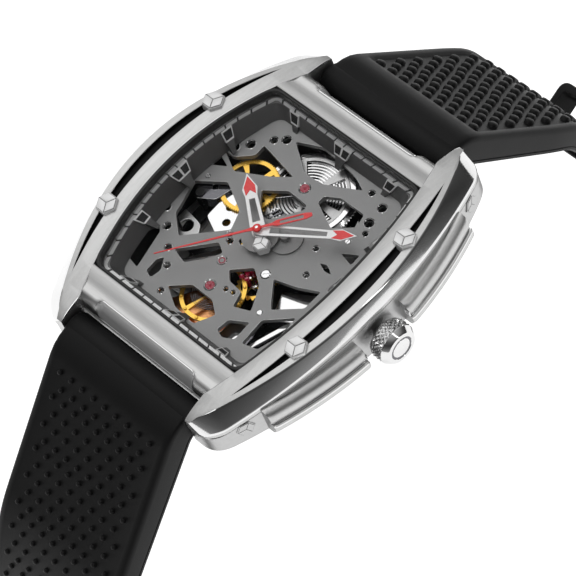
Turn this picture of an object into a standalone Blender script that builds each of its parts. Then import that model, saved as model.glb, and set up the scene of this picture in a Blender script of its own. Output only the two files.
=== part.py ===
"""A tonneau skeleton automatic wristwatch on a two-piece rubber strap.

Frame: origin at the centre of the case back's outer face, +X towards 3 o'clock and the crown,
+Y towards 12 o'clock, +Z out through the crystal. Sizes below are in millimetres.
"""

from math import atan2, cos, pi, radians, sin

import bmesh
import bpy
import numpy as np

MM = 0.001
FIT = 0.06  # clearance between assembled metal pieces

# Case
CASE_HALF_LENGTH = 24.0
CASE_HALF_WIDTH = 20.5
CASE_END_HALF_WIDTH = 14.9
TOP_HEIGHT = 11.78  # rail top over the case back at the middle of the case
CAMBER = 0.0053  # how fast the case bends down towards 12 and 6, per mm
BEZEL_DEPTH = 2.4
FLANK_BOTTOM = 3.6
CASE_BOTTOM = 1.35
OPENING = (15.25, 12.95, 16.1)  # crystal opening: half width, half width at its ends, half length
CAVITY = (15.7, 13.3, 16.5)
BACK_CAVITY_RADIUS = 14.1
STRAP_NOTCH_Y = 20.3
STRAP_NOTCH_HALF = 11.2
CROWN_HEIGHT = 5.55
SIDE_SCREW_HEIGHT = 6.1

# Movement
PLATE_TOP = 7.35
PLATE_BOTTOM = 6.65
BARREL = (-0.95, 8.5)
SECOND_WHEEL = (-7.6, 4.9)
THIRD_WHEEL = (-4.64, 1.66)
ESCAPE = (2.2, -4.55)
PALLET = (0.5, -6.9)
BALANCE = (-0.6, -8.6)
CROWN_WHEEL = (5.6, 3.8)
MINUTE_WHEEL = (2.5, 1.8)

# Time shown
HOUR_ANGLE = -55.2  # degrees clockwise from 12
MINUTE_ANGLE = 57.9
SECOND_ANGLE = 217.2

# Strap
BAR_Y, BAR_Z = 22.75, 5.9  # spring bar axis
STRAP_WIDTH = (22.0, 18.4)  # at the case, at the far end
STRAP_THICKNESS = (4.3, 2.7)
# Each stretch of a strap half is (length, turn towards the floor in degrees).
UPPER_STRETCHES = ((0.9, 0), (2.6, 38), (20.0, 0), (4.0, 22), (50.3, 0))
LOWER_STRETCHES = ((0.9, 0), (2.6, 38), (19.5, 0), (20.0, 33), (14.4, 0), (28.4, 101), (12.0, 0))
STRAP_START_TURN = 8.0
STRAP_HOLE_STATIONS = (3, 6, 9, 12, 15)  # stations back from the tail's end, 2.4 mm apart
STRAP_TAPER = (0.25, 0.55)  # the stretch of each half's length over which it narrows
STRAP_THIN_FROM = 0.75  # the share of its length at which a half reaches its end thickness


# ---------------------------------------------------------------- materials

def material(name, colour, roughness, metallic):
    """A Principled material with one colour."""
    made = bpy.data.materials.new(name)
    made.use_nodes = True
    shader = made.node_tree.nodes["Principled BSDF"]
    shader.inputs["Base Color"].default_value = (*colour, 1)
    shader.inputs["Roughness"].default_value = roughness
    shader.inputs["Metallic"].default_value = metallic
    return made


def make_materials():
    """Every finish of the watch by name."""
    return {
        "brushed": material("brushed_steel", (0.62, 0.62, 0.61), 0.32, 1.0),
        "polished": material("polished_steel", (0.78, 0.78, 0.78), 0.08, 1.0),
        "blasted": material("blasted_plate", (0.30, 0.30, 0.31), 0.55, 1.0),
        "gold": material("gilt_brass", (0.83, 0.57, 0.17), 0.25, 1.0),
        "ruby": material("ruby", (0.45, 0.02, 0.06), 0.1, 0.0),
        "glass": material("sapphire", (0.93, 0.95, 0.96), 0.02, 0.0),
        "gasket": material("black_gasket", (0.02, 0.02, 0.02), 0.6, 0.0),
        "ring": material("chapter_ring", (0.33, 0.34, 0.35), 0.45, 0.6),
        "red": material("red_lacquer", (0.75, 0.03, 0.03), 0.35, 0.0),
        "rubber": material("black_rubber", (0.012, 0.012, 0.013), 0.55, 0.0),
    }


# ---------------------------------------------------------------- mesh tools

def add_object(name, bm, finish, at=(0, 0, 0), sharp=35):
    """Turns a bmesh drawn in millimetres into an object whose origin is at the point given."""
    bmesh.ops.recalc_face_normals(bm, faces=bm.faces)
    for vertex in bm.verts:
        vertex.co = [(vertex.co[i] - at[i]) * MM for i in range(3)]
    mesh = bpy.data.meshes.new(name)
    bm.to_mesh(mesh)
    bm.free()
    mesh.shade_smooth()
    mesh.set_sharp_from_angle(angle=radians(sharp))
    if finish:
        mesh.materials.append(finish)
    made = bpy.data.objects.new(name, mesh)
    made.location = [c * MM for c in at]
    bpy.context.scene.collection.objects.link(made)
    return made


def hide(helper):
    """Marks an object as a cutter or a helper shape."""
    helper.hide_render = True
    helper.display_type = "WIRE"
    return helper


def boolean(target, helper, operation="DIFFERENCE"):
    """Adds a Boolean modifier that cuts or joins the helper."""
    modifier = target.modifiers.new(f"{operation}_{helper.name}", "BOOLEAN")
    modifier.operation = operation
    modifier.object = hide(helper)


def loft(loops, closed=False):
    """Skins loops of equally many points. Closed makes a ring of loops; otherwise the ends are capped."""
    bm = bmesh.new()
    rows = [[bm.verts.new(point) for point in loop] for loop in loops]
    count = len(rows[0])
    pairs = list(zip(rows, rows[1:] + rows[:1])) if closed else list(zip(rows, rows[1:]))
    for low, high in pairs:
        for i in range(count):
            j = (i + 1) % count
            bm.faces.new((low[i], low[j], high[j], high[i]))
    if not closed:
        bm.faces.new(rows[0][::-1])
        bm.faces.new(rows[-1])
    return bm


def circle(radius, z=0.0, centre=(0, 0), count=32):
    """A level circle of points."""
    turns = [2 * pi * i / count for i in range(count)]
    return [(centre[0] + radius * cos(t), centre[1] + radius * sin(t), z) for t in turns]


def turned(profile, centre=(0, 0), count=32, closed=False):
    """A turned piece about a vertical axis; the profile is (radius, height) pairs."""
    return loft([circle(r, z, centre, count) for r, z in profile], closed)


def turned_along_x(profile, y, z, count=32, closed=False):
    """A turned piece about an axis along X; the profile is (radius, x) pairs."""
    loops = []
    for radius, x in profile:
        turns = [2 * pi * i / count for i in range(count)]
        loops.append([(x, y + radius * cos(t), z + radius * sin(t)) for t in turns])
    return loft(loops, closed)


def tonneau(half_width, end_half_width, half_length, corner=1.6, end_steps=1, side_steps=7, corner_steps=3):
    """A tonneau outline: bowed sides, straight ends and rounded corners, as (x, y) points."""
    bulge = half_width - end_half_width
    quarter = []
    for i in range(side_steps):
        y = (half_length - corner) * i / side_steps
        quarter.append((half_width - bulge * (y / half_length) ** 2, y))
    start = (half_width - bulge * ((half_length - corner) / half_length) ** 2, half_length - corner)
    tip = (end_half_width, half_length)
    finish = (end_half_width - corner, half_length)
    for i in range(corner_steps + 1):
        t = i / corner_steps
        blend = ((1 - t) ** 2, 2 * t * (1 - t), t ** 2)
        quarter.append(tuple(sum(w * p[k] for w, p in zip(blend, (start, tip, finish))) for k in (0, 1)))
    quarter += [(finish[0] * (1 - i / end_steps), half_length) for i in range(1, end_steps)]
    left = [(-x, y) for x, y in reversed(quarter)]
    low_left = [(-x, -y) for x, y in quarter[1:]]
    low_right = [(x, -y) for x, y in reversed(quarter[1:])]
    return quarter + left + low_left + low_right


def at_height(outline, height, camber=0.0):
    """Lifts an outline to a height that falls off with y squared."""
    return [(x, y, height - camber * y * y) for x, y in outline]


def box(low, high):
    """An upright box between two corners."""
    (x0, y0, z0), (x1, y1, z1) = low, high
    corners = [(x0, y0), (x1, y0), (x1, y1), (x0, y1)]
    return loft([[(x, y, z) for x, y in corners] for z in (z0, z1)])


def pierced_plate(outline, holes, low, high):
    """A flat plate between two heights, with holes right through."""
    bm = bmesh.new()
    for points in [outline] + list(holes):
        ring = [bm.verts.new((p[0], p[1], low)) for p in points]
        for i, vertex in enumerate(ring):
            bm.edges.new((vertex, ring[(i + 1) % len(ring)]))
    bmesh.ops.triangle_fill(bm, use_beauty=True, edges=bm.edges[:])
    raised = bmesh.ops.extrude_face_region(bm, geom=bm.faces[:])["geom"]
    for item in raised:
        if isinstance(item, bmesh.types.BMVert):
            item.co.z = high
    return bm


def sector(centre, inner, outer, start, end, steps=5):
    """The outline of a window between two radii and two angles in degrees."""
    turns = np.radians(np.linspace(start, end, steps))
    far = [(centre[0] + outer * cos(t), centre[1] + outer * sin(t)) for t in turns]
    near = [(centre[0] + inner * cos(t), centre[1] + inner * sin(t)) for t in turns[::-1]]
    return far + near


def flat_circle(centre, radius, count=16):
    """A circle as (x, y) points."""
    return [(x, y) for x, y, _ in circle(radius, 0, centre, count)]


def polygon(points):
    """A polygon as it is given, for reading beside circles and sectors."""
    return [tuple(p) for p in points]


# ---------------------------------------------------------------- case

def case_middle(finish):
    """The band of the case with its lugs, open at the top and at the back."""
    parting = TOP_HEIGHT - BEZEL_DEPTH - 2 * FIT
    ends = 4
    outer = tonneau(CASE_HALF_WIDTH, CASE_END_HALF_WIDTH, CASE_HALF_LENGTH - 0.1, 2.2, ends)
    lower = tonneau(CASE_HALF_WIDTH - 0.3, CASE_END_HALF_WIDTH - 0.3, CASE_HALF_LENGTH - 0.5, 2.2, ends)
    under = tonneau(18.2, 13.2, 20.9, 2.2, ends)
    round_hole = hole_like(under, BACK_CAVITY_RADIUS)
    cavity = tonneau(*CAVITY, 2.0, ends)
    ring = tonneau(OPENING[0] + 1.9, OPENING[1] + 1.4, OPENING[2] + 1.6, 2.0, ends)
    loops = [
        at_height(outer, parting, CAMBER),
        at_height(lower, FLANK_BOTTOM),
        at_height(under, CASE_BOTTOM),
        at_height(round_hole, CASE_BOTTOM),
        at_height(round_hole, 2.5),
        at_height(cavity, 2.5),
        at_height(cavity, 6.9),
        at_height(ring, parting, CAMBER),
    ]
    body = add_object("case_middle", loft(loops, closed=True), finish)
    for side in (1, -1):
        low_y, high_y = sorted((side * STRAP_NOTCH_Y, side * 30))
        notch = box((-STRAP_NOTCH_HALF, low_y, -1), (STRAP_NOTCH_HALF, high_y, 14))
        boolean(body, add_object(f"strap_notch_{side}", notch, None))
        bore = turned_along_x([(0.55, -13.6), (0.55, 13.6)], side * BAR_Y, BAR_Z, 16)
        boolean(body, add_object(f"spring_bar_bore_{side}", bore, None))
    tube_bore = turned_along_x([(1.25, 14.0), (1.25, 23.0)], 0, CROWN_HEIGHT, 24)
    boolean(body, add_object("crown_tube_bore", tube_bore, None))
    for x, y, side in side_screw_places():
        seat = turned_along_x([(1.0, x - 0.4 * side), (1.0, x + 3 * side)], y, SIDE_SCREW_HEIGHT, 14)
        boolean(body, add_object(f"side_screw_seat_{x:.0f}_{y:.0f}", seat, None))
    return body


def hole_like(outline, radius):
    """A circle with one point for each point of an outline, at the same bearings."""
    return [(radius * x / (x * x + y * y) ** 0.5, radius * y / (x * x + y * y) ** 0.5) for x, y in outline]


def bezel(finish):
    """The bezel: two bowed rails and the cross bars at 12 and 6, in one piece."""
    under = TOP_HEIGHT - BEZEL_DEPTH
    foot = tonneau(CASE_HALF_WIDTH, CASE_END_HALF_WIDTH, CASE_HALF_LENGTH - 0.05, 2.2)
    waist = tonneau(CASE_HALF_WIDTH, CASE_END_HALF_WIDTH - 0.1, CASE_HALF_LENGTH, 2.0)
    shoulder = tonneau(20.15, 12.7, CASE_HALF_LENGTH - 0.05, 1.3)
    crest = tonneau(19.7, 12.0, CASE_HALF_LENGTH - 0.3, 1.2)
    mouth = tonneau(*OPENING, 1.2)
    loops = [
        at_height(foot, under, CAMBER),
        at_height(waist, under + 0.45, CAMBER),
        at_height(shoulder, TOP_HEIGHT - 0.35, CAMBER),
        at_height(crest, TOP_HEIGHT, CAMBER),
        at_height(mouth, TOP_HEIGHT, CAMBER),
        at_height(mouth, under, CAMBER),
    ]
    body = add_object("bezel", loft(loops, closed=True), finish)
    for side in (1, -1):
        low_y, high_y = sorted((side * STRAP_NOTCH_Y, side * 30))
        notch = box((-STRAP_NOTCH_HALF, low_y, 0), (STRAP_NOTCH_HALF, high_y, 14))
        boolean(body, add_object(f"bezel_notch_{side}", notch, None))
        # The bars roll down towards the strap: a slanted cut over the whole width, a steeper one in the middle.
        for label, half, near, drop in (("roll", STRAP_NOTCH_HALF, 18.3, 0.45), ("tab", 8.0, 19.1, 2.6)):
            near_z = TOP_HEIGHT - CAMBER * near ** 2
            far = STRAP_NOTCH_Y + 1.0
            far_z = near_z - drop * (far - near) / (STRAP_NOTCH_Y - near)
            wedge = [(side * near, near_z), (side * far, far_z), (side * far, 14), (side * near, 14)]
            cut = loft([[(x, y, z) for y, z in wedge] for x in (-half, half)])
            boolean(body, add_object(f"bezel_{label}_{side}", cut, None))
        boolean(body, add_object(f"rail_groove_{side}", rail_groove(side), None))
    for x, y, z in bezel_screw_places():
        seat = turned([(1.55, z - 1.0), (1.55, 14)], (x, y), 6)
        boolean(body, add_object(f"bezel_screw_seat_{x:.0f}_{y:.0f}", seat, None))
    return body


def rail_groove(side):
    """The cutter of the groove along one rail, widest in the middle and pointed at both ends."""
    middle_x, bow, reach, width, depth = 17.95, 0.01023, 18.4, 1.3, 0.55
    loops = []
    stations = 14
    for i in range(stations + 1):
        y = -reach + 2 * reach * i / stations
        centre = side * (middle_x - bow * y * y)
        half = max(0.03, width * (1 - (y / reach) ** 2) / 2)
        floor = TOP_HEIGHT - CAMBER * y * y - depth
        loops.append([(centre - half, y, floor), (centre + half, y, floor), (centre + half, y, floor + 2),
                      (centre - half, y, floor + 2)])
    return loft(loops)


def bezel_screw_places():
    """Where the four hexagonal screws sit in the rails."""
    x, y = 17.0, 9.4
    z = TOP_HEIGHT - CAMBER * y * y
    return [(sx * x, sy * y, z) for sx in (-1, 1) for sy in (-1, 1)]


def bezel_screws(finish):
    """Hexagonal screw heads with a shank, each its own piece."""
    names = ("lower_left", "upper_left", "lower_right", "upper_right")
    for name, (x, y, z) in zip(names, bezel_screw_places()):
        head = turned([(1.42, z - 0.92), (1.42, z + 0.25), (1.12, z + 0.42)], (x, y), 6)
        add_object(f"bezel_screw_{name}", head, finish, (x, y, z))


def flank_x(y):
    """How far the case's flank lies from its middle plane at y."""
    bulge = CASE_HALF_WIDTH - CASE_END_HALF_WIDTH
    return CASE_HALF_WIDTH - bulge * (y / CASE_HALF_LENGTH) ** 2


def side_screw_places():
    """Where the side screws sit, with the side that they face."""
    y = 19.6
    x = flank_x(y) - 0.75
    return [(sx * x, sy * y, sx) for sx in (-1, 1) for sy in (-1, 1)]


def side_screws(finish):
    """Low hexagonal screws in the flank near each lug."""
    names = ("lower_left", "upper_left", "lower_right", "upper_right")
    for name, (x, y, side) in zip(names, side_screw_places()):
        head = turned_along_x([(0.9, x - 0.34 * side), (0.9, x + 0.95 * side)], y, SIDE_SCREW_HEIGHT, 6)
        add_object(f"side_screw_{name}", head, finish, (x, y, SIDE_SCREW_HEIGHT))


def guard_bar(name, finish, start, end, side, stand=1.0):
    """A ridged bar along the flank between two y values; stand scales how far it stands off."""
    loops = []
    steps = 8
    for i in range(steps + 1):
        y = start + (end - start) * i / steps
        root = flank_x(y) + 0.12
        swell = 1.0 if 0 < i < steps else 0.82
        section = [(0, 7.6), (0.75, 7.75), (1.3, 7.1), (1.15, 6.3), (1.55, 5.6),
                   (1.75, 4.9), (1.45, 4.1), (0.8, 3.75), (0, 3.9)]
        slope = 0.9 * (1 - abs(y) / 24)
        loops.append([(side * (root + dx * stand * swell * (0.9 + 0.1 * slope)), y, z) for dx, z in section])
    if side < 0:
        loops = [loop[::-1] for loop in loops]
    return add_object(name, loft(loops), finish, (side * flank_x((start + end) / 2), (start + end) / 2, 5.6))


def crystal(finish):
    """The sapphire: a tonneau pane that bends with the case."""
    outline_width, end_width, half_length = OPENING[0] - 0.42, OPENING[1] - 0.42, OPENING[2] - 0.42
    loops = []
    stations = 16
    for i in range(stations + 1):
        y = -half_length + 2 * half_length * i / stations
        width = outline_width - (outline_width - end_width) * (y / half_length) ** 2
        if i in (0, stations):
            width -= 0.6
        top = TOP_HEIGHT + 0.02 - 0.0047 * y * y
        section = [(-width, top - 1.0), (width, top - 1.0), (width, top - 0.2), (width - 0.25, top),
                   (-width + 0.25, top), (-width, top - 0.2)]
        loops.append([(x, y, z) for x, z in section])
    return add_object("crystal", loft(loops), finish)


def crystal_gasket(finish):
    """The thin black seal round the crystal."""
    outer = tonneau(OPENING[0] - FIT, OPENING[1] - FIT, OPENING[2] - FIT, 1.2)
    inner = tonneau(OPENING[0] - 0.34, OPENING[1] - 0.34, OPENING[2] - 0.34, 1.0)
    top, low = TOP_HEIGHT - 0.15, TOP_HEIGHT - 1.25
    loops = [at_height(outer, low, CAMBER), at_height(outer, top, CAMBER),
             at_height(inner, top, CAMBER), at_height(inner, low, CAMBER)]
    return add_object("crystal_gasket", loft(loops, closed=True), finish)


def chapter_ring(finish):
    """The sloping wall between crystal and movement that carries the minute track."""
    top, foot = TOP_HEIGHT - 1.32, PLATE_TOP + 0.08
    outer = tonneau(OPENING[0] - 0.12, OPENING[1] - 0.12, OPENING[2] - 0.12, 1.2)
    lip = tonneau(OPENING[0] - 0.95, OPENING[1] - 0.95, OPENING[2] - 0.95, 1.0)
    base = tonneau(OPENING[0] - 2.0, OPENING[1] - 2.0, OPENING[2] - 2.1, 0.9)
    loops = [at_height(outer, foot), at_height(outer, top, 0.0055), at_height(lip, top, 0.0055),
             at_height(base, foot)]
    return add_object("chapter_ring", loft(loops, closed=True), finish)


def case_back(finish):
    """The back plate with its window."""
    outline = tonneau(17.4, 12.5, 20.1, 2.0)
    screws = case_back_screw_places()
    window = flat_circle((0, 0), 12.55, 48)
    holes = [window] + [flat_circle(place, 0.95, 14) for place in screws]
    return add_object("case_back", pierced_plate(outline, holes, 0.0, CASE_BOTTOM - FIT), finish)


def case_back_screw_places():
    """The four corners of the back plate."""
    return [(sx * 11.6, sy * 15.6) for sx in (-1, 1) for sy in (-1, 1)]


def case_back_screws(finish):
    """Countersunk screws that hold the back."""
    names = ("lower_left", "upper_left", "lower_right", "upper_right")
    for name, place in zip(names, case_back_screw_places()):
        head = turned([(0.86, 0.1), (0.86, CASE_BOTTOM - FIT)], place, 14)
        add_object(f"case_back_screw_{name}", head, finish, (*place, 0.1))


def back_crystal(finish):
    """The window of the case back."""
    return add_object("back_crystal", turned([(12.47, 0.0), (12.47, 1.1)], count=48), finish)


# ---------------------------------------------------------------- crown and winding

def crown_group(polished, brushed):
    """The crown, its stem, its tube and the lever that holds the stem."""
    profile = [(1.9, 20.95), (2.7, 21.15), (2.8, 21.4), (2.8, 23.1), (2.35, 23.75), (2.1, 23.9)]
    crown = add_object("crown", turned_along_x(profile, 0, CROWN_HEIGHT, 28), brushed, (21, 0, CROWN_HEIGHT))
    socket = turned_along_x([(1.0, 20.0), (1.0, 22.4)], 0, CROWN_HEIGHT, 20)
    boolean(crown, add_object("crown_socket", socket, None))
    neck = [(1.1, 7.4), (1.1, 8.2), (0.42, 8.25), (0.42, 11.6), (0.3, 11.7), (0.3, 12.3), (0.42, 12.4),
            (0.42, 22.3)]
    add_object("winding_stem", turned_along_x(neck, 0, CROWN_HEIGHT, 14), polished, (9, 0, CROWN_HEIGHT))
    tube = [(1.19, 15.9), (1.19, 20.0), (0.9, 20.0), (0.9, 20.75), (0.5, 20.75), (0.5, 15.9)]
    add_object("crown_tube", turned_along_x(tube, 0, CROWN_HEIGHT, 24, closed=True), polished)
    lever = pierced_plate(
        polygon([(11.75, -0.2), (12.25, -0.2), (12.3, 1.6), (12.9, 2.6), (12.3, 3.1), (11.6, 1.7)]),
        [], CROWN_HEIGHT + 0.36, CROWN_HEIGHT + 0.72)
    add_object("setting_lever", lever, polished, (12, 0, CROWN_HEIGHT))


# ---------------------------------------------------------------- movement

STRUT_WINDOWS = (
    # name, corner points of each window of the skeleton plate
    ("eleven", ((-12.3, 3.7), (-12.1, 6.2), (-10.6, 5.1))),
    ("top_wheel", ((-10.6, 6.4), (-10.2, 9.4), (-3.6, 9.3), (-4.6, 7.3), (-8.2, 5.6))),
    ("barrel_upper", ((-6.3, 12.4), (-2.6, 9.9), (0.4, 10.2), (5.4, 12.2), (4.2, 13.0), (-3.0, 13.0))),
    ("barrel_right", ((1.2, 8.9), (5.6, 10.9), (8.2, 6.7), (3.6, 3.2))),
    ("ten", ((-12.2, 1.4), (-9.8, 3.1), (-7.4, 1.3), (-4.0, -1.6), (-8.2, -6.1), (-12.2, -2.3))),
    ("centre_left", ((-6.0, 4.4), (-2.2, 6.6), (-0.6, 3.0), (-2.4, 1.0))),
    ("centre_right", ((2.2, 1.2), (2.8, 2.6), (8.6, 5.6), (8.9, 2.4), (4.2, 0.2))),
    ("nine", ((-11.6, -6.7), (-10.5, -6.2), (-8.7, -8.6), (-10.6, -11.2))),
    ("eight", ((-8.0, -9.3), (-6.3, -10.5), (-7.2, -12.4), (-9.0, -11.6))),
    ("centre_low", ((-7.2, -7.2), (-3.8, -3.5), (-2.5, -4.2), (-4.4, -7.6), (-5.6, -8.7))),
    ("balance_left", ((-4.6, -11.6), (-2.6, -9.8), (-0.2, -10.6), (2.2, -10.4), (2.6, -12.0), (-0.6, -13.2))),
    ("balance_right", ((0.6, -5.4), (2.6, -3.9), (4.4, -4.4), (5.9, -7.9), (3.5, -9.2))),
    ("four", ((6.2, -3.6), (10.9, -0.6), (12.0, -3.4), (8.0, -6.4))),
    ("five", ((8.0, -11.6), (7.9, -8.2), (11.2, -5.2), (11.2, -9.4))),
    ("six", ((4.0, -11.9), (4.7, -10.6), (6.9, -9.5), (7.0, -12.2), (5.2, -12.9))),
    ("three", ((10.1, 0.8), (9.9, 3.4), (12.2, 2.6), (12.5, 0.6))),
)
PLATE_HOLES = (
    (-12.0, 7.4, 0.42), (-10.9, 9.1, 0.5), (-9.1, 10.9, 0.42), (-7.7, 11.9, 0.5), (-9.0, -7.3, 0.4),
    (-6.9, -9.0, 0.4), (-3.2, -2.4, 0.4), (1.4, -2.2, 0.35), (6.6, -8.6, 0.35), (8.6, 11.4, 0.5),
    (9.8, 9.4, 0.5), (10.9, 7.4, 0.55), (9.2, -1.6, 0.4), (-5.3, -13.0, 0.4), (10.9, 5.2, 0.35),
)


def main_plate(finish):
    """The skeleton plate under the hands: a tonneau plate with windows, holes and arbor holes."""
    outline = tonneau(OPENING[0] - 0.3, OPENING[1] - 0.3, OPENING[2] - 0.45, 1.5)
    holes = [polygon(points) for _, points in STRUT_WINDOWS]
    holes += [flat_circle((x, y), r, 10) for x, y, r in PLATE_HOLES]
    holes += [flat_circle((0, 0), 0.95, 16), flat_circle(BARREL, 0.85, 14), flat_circle(BALANCE, 0.85, 14)]
    return add_object("main_plate", pierced_plate(outline, holes, PLATE_BOTTOM, PLATE_TOP), finish)


def movement_ring(finish):
    """The holder that centres the movement in the case."""
    outer = tonneau(CAVITY[0] - FIT, CAVITY[1] - FIT, CAVITY[2] - FIT, 2.0)
    inner = tonneau(14.2, 12.4, 15.4, 1.4)
    loops = [at_height(outer, 2.7), at_height(outer, 6.5), at_height(inner, 6.5), at_height(inner, 2.7)]
    body = add_object("movement_ring", loft(loops, closed=True), finish)
    slot = turned_along_x([(1.3, 12.0), (1.3, 17.0)], 0, CROWN_HEIGHT, 16)
    boolean(body, add_object("stem_slot", slot, None))


def wheel(name, finish, centre, radius, height, spokes, arbor, rim=0.55, turn=0.0, count=28):
    """A spoked wheel on its arbor: height is (low, high) of its disc, arbor the turned profile."""
    gap = 360 / spokes
    windows = [sector(centre, 0.3 * radius, radius - rim, turn + gap * i + 9, turn + gap * (i + 1) - 9, 4)
               for i in range(spokes)]
    disc = pierced_plate(flat_circle(centre, radius, count), windows, *height)
    body = add_object(name, disc, finish, (*centre, height[0]))
    shaft = add_object(f"{name}_arbor", turned(arbor, centre, 10), None)
    boolean(body, shaft, "UNION")
    return body


def gear_train(mats):
    """Barrel, wheels, escapement and balance."""
    x, y = BARREL
    body = turned([(0.9, 4.7), (6.3, 4.7), (6.3, 4.85), (6.58, 4.85), (6.58, 5.2), (6.1, 5.2), (6.1, 5.95),
                   (0.9, 5.95)], BARREL, 36)
    barrel = add_object("mainspring_barrel", body, mats["polished"], (x, y, 5.3))
    boolean(barrel, add_object("barrel_bore", turned([(0.62, 4.0), (0.62, 7.0)], BARREL, 14), None))
    arbor = [(0.5, 3.1), (0.5, 6.5)]
    ratchet = turned([(3.3, 3.9), (3.3, 4.4)], BARREL, 28)
    ratchet_wheel = add_object("ratchet_wheel", ratchet, mats["brushed"], (x, y, 4.1))
    boolean(ratchet_wheel, add_object("barrel_arbor", turned(arbor, BARREL, 14), None), "UNION")
    crown_wheel = turned([(4.66, 3.9), (4.66, 4.4)], CROWN_WHEEL, 36)
    add_object("crown_wheel", crown_wheel, mats["brushed"], (*CROWN_WHEEL, 4.1))

    wheel("second_wheel", mats["gold"], SECOND_WHEEL, 3.85, (6.05, 6.3), 5,
          [(0.25, 4.6), (0.25, 5.0), (0.9, 5.0), (0.9, 5.9), (0.35, 5.9), (0.35, 6.5)])
    wheel("third_wheel", mats["gold"], THIRD_WHEEL, 4.3, (4.2, 4.45), 5,
          [(0.25, 3.1), (0.25, 4.1), (0.4, 4.1), (0.4, 5.98), (0.45, 6.02), (0.45, 6.4), (0.2, 6.4),
           (0.2, 6.55)], turn=20)
    wheel("fourth_wheel", mats["gold"], (0, 0), 4.55, (3.5, 3.75), 5,
          [(0.22, 3.1), (0.22, 3.4), (0.4, 3.4), (0.4, 4.1), (0.52, 4.15), (0.52, 4.5), (0.3, 4.55),
           (0.16, 6.0), (0.16, 9.8)])
    wheel("escape_wheel", mats["gold"], ESCAPE, 2.15, (4.6, 4.8), 4,
          [(0.2, 3.1), (0.2, 3.4), (0.4, 3.4), (0.4, 3.85), (0.25, 3.9), (0.25, 5.6), (0.15, 5.7),
           (0.15, 6.4)], rim=0.4)
    fork_to_balance = atan2(BALANCE[1] - PALLET[1], BALANCE[0] - PALLET[0])
    outline = [(1.05, 0.12), (1.05, 0.3), (0.75, 0.3), (0.5, 0.14), (0.15, 0.3), (-0.25, 1.15), (-0.62, 1.05),
               (-0.3, 0.1), (-0.3, -0.1), (-0.62, -1.05), (-0.25, -1.15), (0.15, -0.3), (0.5, -0.14),
               (0.75, -0.3), (1.05, -0.3), (1.05, -0.12), (0.85, 0.0)]
    turn = (cos(fork_to_balance), sin(fork_to_balance))
    fork = [(PALLET[0] + a * turn[0] - b * turn[1], PALLET[1] + a * turn[1] + b * turn[0]) for a, b in outline]
    pallet = add_object("pallet_fork", pierced_plate(fork, [], 4.6, 4.8), mats["polished"], (*PALLET, 4.7))
    boolean(pallet, add_object("pallet_arbor", turned([(0.15, 3.2), (0.15, 5.3)], PALLET, 12), None), "UNION")
    wheel("balance_wheel", mats["gold"], BALANCE, 4.3, (5.45, 5.8), 3,
          [(0.12, 3.15), (0.2, 3.3), (0.2, 5.0), (0.5, 5.05), (0.5, 5.3), (0.3, 5.35), (0.3, 5.9),
           (0.15, 5.95), (0.15, 6.55)], rim=0.6, turn=15)
    hairspring(mats["polished"])


def hairspring(finish):
    """A flat spiral from the collet to the stud."""
    turns, inner, outer = 3.5, 0.6, 2.6
    steps = 42
    width, low, high = 0.06, 6.0, 6.2
    loops = []
    for i in range(steps + 1):
        t = i / steps
        angle = 2 * pi * turns * t
        radius = inner + (outer - inner) * t
        direction = (cos(angle), sin(angle))
        section = [(radius - width, low), (radius + width, low), (radius + width, high), (radius - width, high)]
        loops.append([(BALANCE[0] + r * direction[0], BALANCE[1] + r * direction[1], z) for r, z in section])
    return add_object("hairspring", loft(loops), finish, (*BALANCE, 6.1))


def jewels(finish):
    """The two large jewels set in the skeleton plate."""
    for name, place in (("barrel_jewel", BARREL), ("balance_jewel", BALANCE)):
        ring = turned([(0.8, PLATE_BOTTOM), (0.8, PLATE_TOP + 0.03), (0.2, PLATE_TOP - 0.1)], place, 16)
        add_object(name, ring, finish, (*place, PLATE_TOP))


def back_bridges(mats):
    """The bridge and the balance cock on the rotor's side, with the pillars that reach the main plate."""
    holes = [flat_circle(place, 0.5, 12) for place in (THIRD_WHEEL, ESCAPE)]
    holes += [flat_circle(BARREL, 0.75, 12), flat_circle((0, 0), 0.55, 14)]
    holes += [sector((0, 0), 7.5, 11.2, 160, 203), sector((0, 0), 7.5, 11.2, 338, 382)]
    cut_line = -5.6
    rim = [(x, max(y, cut_line)) for x, y in flat_circle((0, 0), 13.0, 48)]
    rim = [p for i, p in enumerate(rim) if p[1] > cut_line or rim[i - 1][1] > cut_line
           or rim[(i + 1) % len(rim)][1] > cut_line]
    bridge = add_object("train_bridge", pierced_plate(rim, holes, 2.6, 3.0), mats["blasted"])
    for i, place in enumerate(((11.6, -4.6), (-11.6, -4.6), (8.6, 8.8), (-12.0, 0.4))):
        pillar = turned([(0.6, 2.7), (0.6, PLATE_BOTTOM - FIT)], place, 12)
        boolean(bridge, add_object(f"pillar_{i}", pillar, None), "UNION")
    outline = polygon([(-8.4, -8.2), (-4.4, -6.1), (0.9, -6.9), (1.4, -9.2), (-0.8, -10.4), (-7.2, -10.8)])
    hole = flat_circle(BALANCE, 0.35, 12)
    cock = add_object("balance_cock", pierced_plate(outline, [hole], 2.6, 3.1), mats["brushed"])
    post = turned([(0.7, 2.8), (0.7, PLATE_BOTTOM - FIT)], (-7.1, -9.3), 12)
    boolean(cock, add_object("cock_post", post, None), "UNION")


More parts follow.
